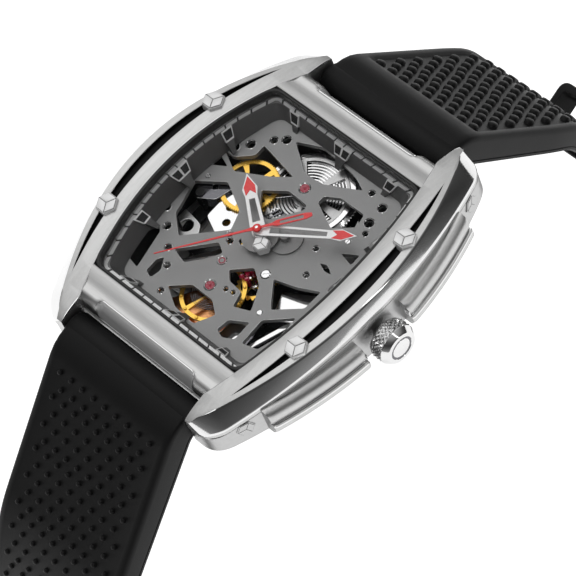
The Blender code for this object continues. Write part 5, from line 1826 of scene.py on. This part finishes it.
@dataclass
class StrapEnd:
    """The eyes at the end of the upper half, the buckle, and the keepers."""

    bench: Bench
    upper: StrapHalf

    def build(self) -> None:
        """Adds the eyes and keepers, and dresses the buckle and the spring bars."""
        spot = self.upper.path()[-1]
        _, y, z, _ = spot
        for sign, label in ((1, "right"), (-1, "left")):
            profile = [(0.75, sign * 1.75), (1.6, sign * 1.75), (1.75, sign * 1.95), (1.75, sign * 8.9),
                       (1.6, sign * 9.15), (0.75, sign * 9.15)]
            self.bench.put(f"strap_eye_{label}", turned_x(profile, y, z, 40, closed=True), [RUBBER],
                           "strap_upper_body", sharp=40)
        self.keeper("fixed_keeper", "strap_upper_body", spot, 9.0)
        self.keeper("free_keeper", "free_keeper_body", spot, 24.0)
        self.bench.dress("buckle_frame", BRUSHED_CROSS, 0.35)
        self.bench.dress("buckle_bar", POLISHED, 0.1)
        self.bench.dress("buckle_tang", POLISHED, 0.12)
        for node in ("spring_bar_upper", "spring_bar_lower"):
            self.bench.dress(node, POLISHED, 0.05)

    def keeper(self, node: str, body: str, spot: Spot, back: float) -> None:
        """Adds one rounded keeper band.

        Args:
            node: the CAD node that it stands for.
            body: the body that it rides on.
            spot: the strap's end.
            back: how far before that end its middle lies.
        """
        half, under, over, gap = 10.8, 2.9, 5.2, 1.15

        def rounded_ring(inset: float) -> list[Flat]:
            """The keeper's section at an inset."""
            corners = [(-half + inset, over - inset), (half - inset, over - inset),
                       (half - inset, -under + inset), (-half + inset, -under + inset)]
            return rounded(corners, 1.5 - inset * 0.7, 6)

        loops = []
        for along, inset in ((-2.6, 1.15), (-2.6, 0.35), (-2.45, 0.1), (-2.2, 0.0), (2.2, 0.0), (2.45, 0.1),
                             (2.6, 0.35), (2.6, 1.15), (0.0, gap)):
            loops.append([self.upper.at(spot, x, lift, along - back) for x, lift in rounded_ring(inset)])
        self.bench.put(f"{node}_band", loft(loops, closed=True), [RUBBER], body, replaces=[node], sharp=44)


# ---------------------------------------------------------------- studio


@dataclass
class Studio:
    """The floor, lights, world and camera."""

    azimuth: float = 65.97
    elevation: float = 55.15
    roll: float = -24.66
    distance: float = 0.437
    lens: float = 225.0
    aim: Point = (0.00668, -0.00255, 0.00578)
    floor: float = -0.0617
    sky: Point = (-0.42, 0.18, 0.89)  # the direction that the surround's shades are measured from

    def build_floor(self) -> None:
        """Adds the pale floor."""
        bm = bmesh.new()
        bmesh.ops.create_grid(bm, x_segments=8, y_segments=8, size=3.0)
        mesh = bpy.data.meshes.new("studio_floor")
        bm.to_mesh(mesh)
        bm.free()
        made = bpy.data.materials.new("studio_floor")
        made.use_nodes = True
        shader = made.node_tree.nodes["Principled BSDF"]
        shader.inputs["Roughness"].default_value = 0.9
        shader.inputs["Specular IOR Level"].default_value = 0.1
        shader.inputs["Base Color"].default_value = (0.8, 0.8, 0.8, 1)
        shader.inputs["Emission Color"].default_value = (1, 1, 1, 1)
        shader.inputs["Emission Strength"].default_value = 0.75
        mesh.materials.append(made)
        floor = bpy.data.objects.new("studio_floor", mesh)
        floor.location = (0, 0, self.floor)
        bpy.context.scene.collection.objects.link(floor)

    def build_world(self) -> None:
        """Sets a soft surround in shades of grey, with plain white behind the watch."""
        world = bpy.data.worlds.new("studio")
        world.use_nodes = True
        bpy.context.scene.world = world
        graph = Graph(world.node_tree)
        backdrop = world.node_tree.nodes["Background"]
        out = world.node_tree.nodes["World Output"]
        place = graph.add("ShaderNodeTexCoord")
        lean = graph.add("ShaderNodeVectorMath", {"operation": "DOT_PRODUCT"})
        lean.inputs[1].default_value = self.sky
        share = graph.add("ShaderNodeMapRange", From_Min=-1.0, From_Max=1.0)
        ramp = graph.add("ShaderNodeValToRGB")
        graph.join(place.outputs["Generated"], lean.inputs[0])
        graph.join(lean.outputs["Value"], share.inputs["Value"])
        graph.join(share.outputs["Result"], ramp.inputs["Fac"])
        stops = ((0.0, 0.40), (0.30, 0.36), (0.44, 0.12), (0.55, 0.04), (0.66, 0.10), (0.78, 0.42),
                 (0.92, 0.72), (1.0, 0.62))
        for position, level in stops:
            stop = ramp.color_ramp.elements.new(position)
            stop.color = (level, level, level, 1)
        ramp.color_ramp.elements.remove(ramp.color_ramp.elements[-1])
        ramp.color_ramp.elements.remove(ramp.color_ramp.elements[0])
        graph.join(ramp.outputs["Color"], backdrop.inputs["Color"])
        backdrop.inputs["Strength"].default_value = 0.95
        white = graph.add("ShaderNodeBackground")
        white.inputs["Color"].default_value = (1, 1, 1, 1)
        seen = graph.add("ShaderNodeLightPath")
        mix = graph.add("ShaderNodeMixShader")
        graph.join(seen.outputs["Is Camera Ray"], mix.inputs[0])
        graph.join(backdrop.outputs["Background"], mix.inputs[1])
        graph.join(white.outputs["Background"], mix.inputs[2])
        graph.join(mix.outputs["Shader"], out.inputs["Surface"])

    def light(self, name: str, azimuth: float, elevation: float, away: float, size: Flat,
              power: float) -> None:
        """Adds one soft box that faces the watch.

        Args:
            name: its name.
            azimuth: its bearing in degrees, from -Y towards +X.
            elevation: how many degrees it stands above the floor.
            away: its distance in metres.
            size: its width and height in metres.
            power: its power in watts.
        """
        a, e = math.radians(azimuth), math.radians(elevation)
        spot = Vector((math.sin(a) * math.cos(e), -math.cos(a) * math.cos(e), math.sin(e))) * away
        data = bpy.data.lights.new(name, "AREA")
        data.shape = "RECTANGLE"
        data.size, data.size_y = size
        data.energy = power
        lamp = bpy.data.objects.new(name, data)
        lamp.location = spot
        lamp.rotation_euler = (-spot).to_track_quat("-Z", "Y").to_euler()
        bpy.context.scene.collection.objects.link(lamp)

    def build_camera(self) -> None:
        """Adds the camera."""
        a, e, r = (math.radians(v) for v in (self.azimuth, self.elevation, self.roll))
        back = Vector((math.sin(a) * math.cos(e), -math.cos(a) * math.cos(e), math.sin(e)))
        level = Vector((math.cos(a), math.sin(a), 0))
        upright = back.cross(level)
        right = level * math.cos(r) + upright * math.sin(r)
        up = upright * math.cos(r) - level * math.sin(r)
        data = bpy.data.cameras.new("camera")
        data.lens = self.lens
        data.sensor_width = 36.0
        data.clip_start = 0.01
        data.clip_end = 20.0
        camera = bpy.data.objects.new("camera", data)
        turn = Matrix((right, up, back)).transposed().to_4x4()
        camera.matrix_world = Matrix.Translation(Vector(self.aim) + back * self.distance) @ turn
        bpy.context.scene.collection.objects.link(camera)
        bpy.context.scene.camera = camera

    def build(self) -> None:
        """Adds everything that isn't the watch."""
        self.build_camera()
        self.build_floor()
        self.build_world()
        self.light("key", 246.0, 62.0, 0.7, (0.50, 0.50), 0.42)
        self.light("side", 115.0, 42.0, 0.6, (0.05, 0.5), 0.22)
        self.light("front", 20.0, 60.0, 0.6, (0.12, 0.4), 0.25)
        bpy.context.scene.view_settings.view_transform = "Standard"


# ---------------------------------------------------------------- assembly

# Each strap half's path from its spring bar, as (length, turn downwards in degrees).
UPPER_STRETCHES = ((0.9, 0.0), (2.6, 38.0), (20.0, 0.0), (4.0, 22.0), (50.3, 0.0))
LOWER_STRETCHES = ((0.9, 0.0), (2.6, 38.0), (19.5, 0.0), (20.0, 33.0), (14.4, 0.0), (28.4, 101.0),
                   (12.0, 0.0))


def main() -> None:
    """Builds the watch's looks in order and reports each piece."""
    logging.basicConfig(level=logging.INFO, format="%(message)s")
    make_brush_lines()
    make_blast_grain()
    make_handling_marks()
    bench = Bench()
    shape = CaseShape()
    upper = StrapHalf(bench, "strap_upper", 1, UPPER_STRETCHES, stud_radius=0.68, stud_height=0.58,
                      recess=0.42, stud_rows_from=5.6, stud_border=1.9, studs_until=57.0)
    lower = StrapHalf(bench, "strap_lower", -1, LOWER_STRETCHES, stud_radius=0.36, stud_height=0.38,
                      recess=0.05, stud_rows_from=4.6, stud_border=1.7, studs_until=62.0, tip=5.0)
    parts: list[tuple[str, Callable[[], None]]] = [
        ("studio", Studio().build),
        ("bezel", Bezel(bench, shape).build),
        ("case", CaseBody(bench, shape).build),
        ("crown", Crown(bench).build),
        ("glazing", Glazing(bench, shape).build),
        ("skeleton plate", SkeletonPlate(bench).build),
        ("train", Train(bench).build),
        ("movement base", MovementBase(bench).build),
        ("hands", Hands(bench).build),
        ("upper strap", upper.build),
        ("lower strap", lower.build),
        ("strap end", StrapEnd(bench, upper).build),
    ]
    for name, build in parts:
        before = len(bench.made)
        build()
        LOG.info("%s: %s", name, ", ".join(bench.made[before:]) or "no pieces")


if __name__ == "__main__":
    main()
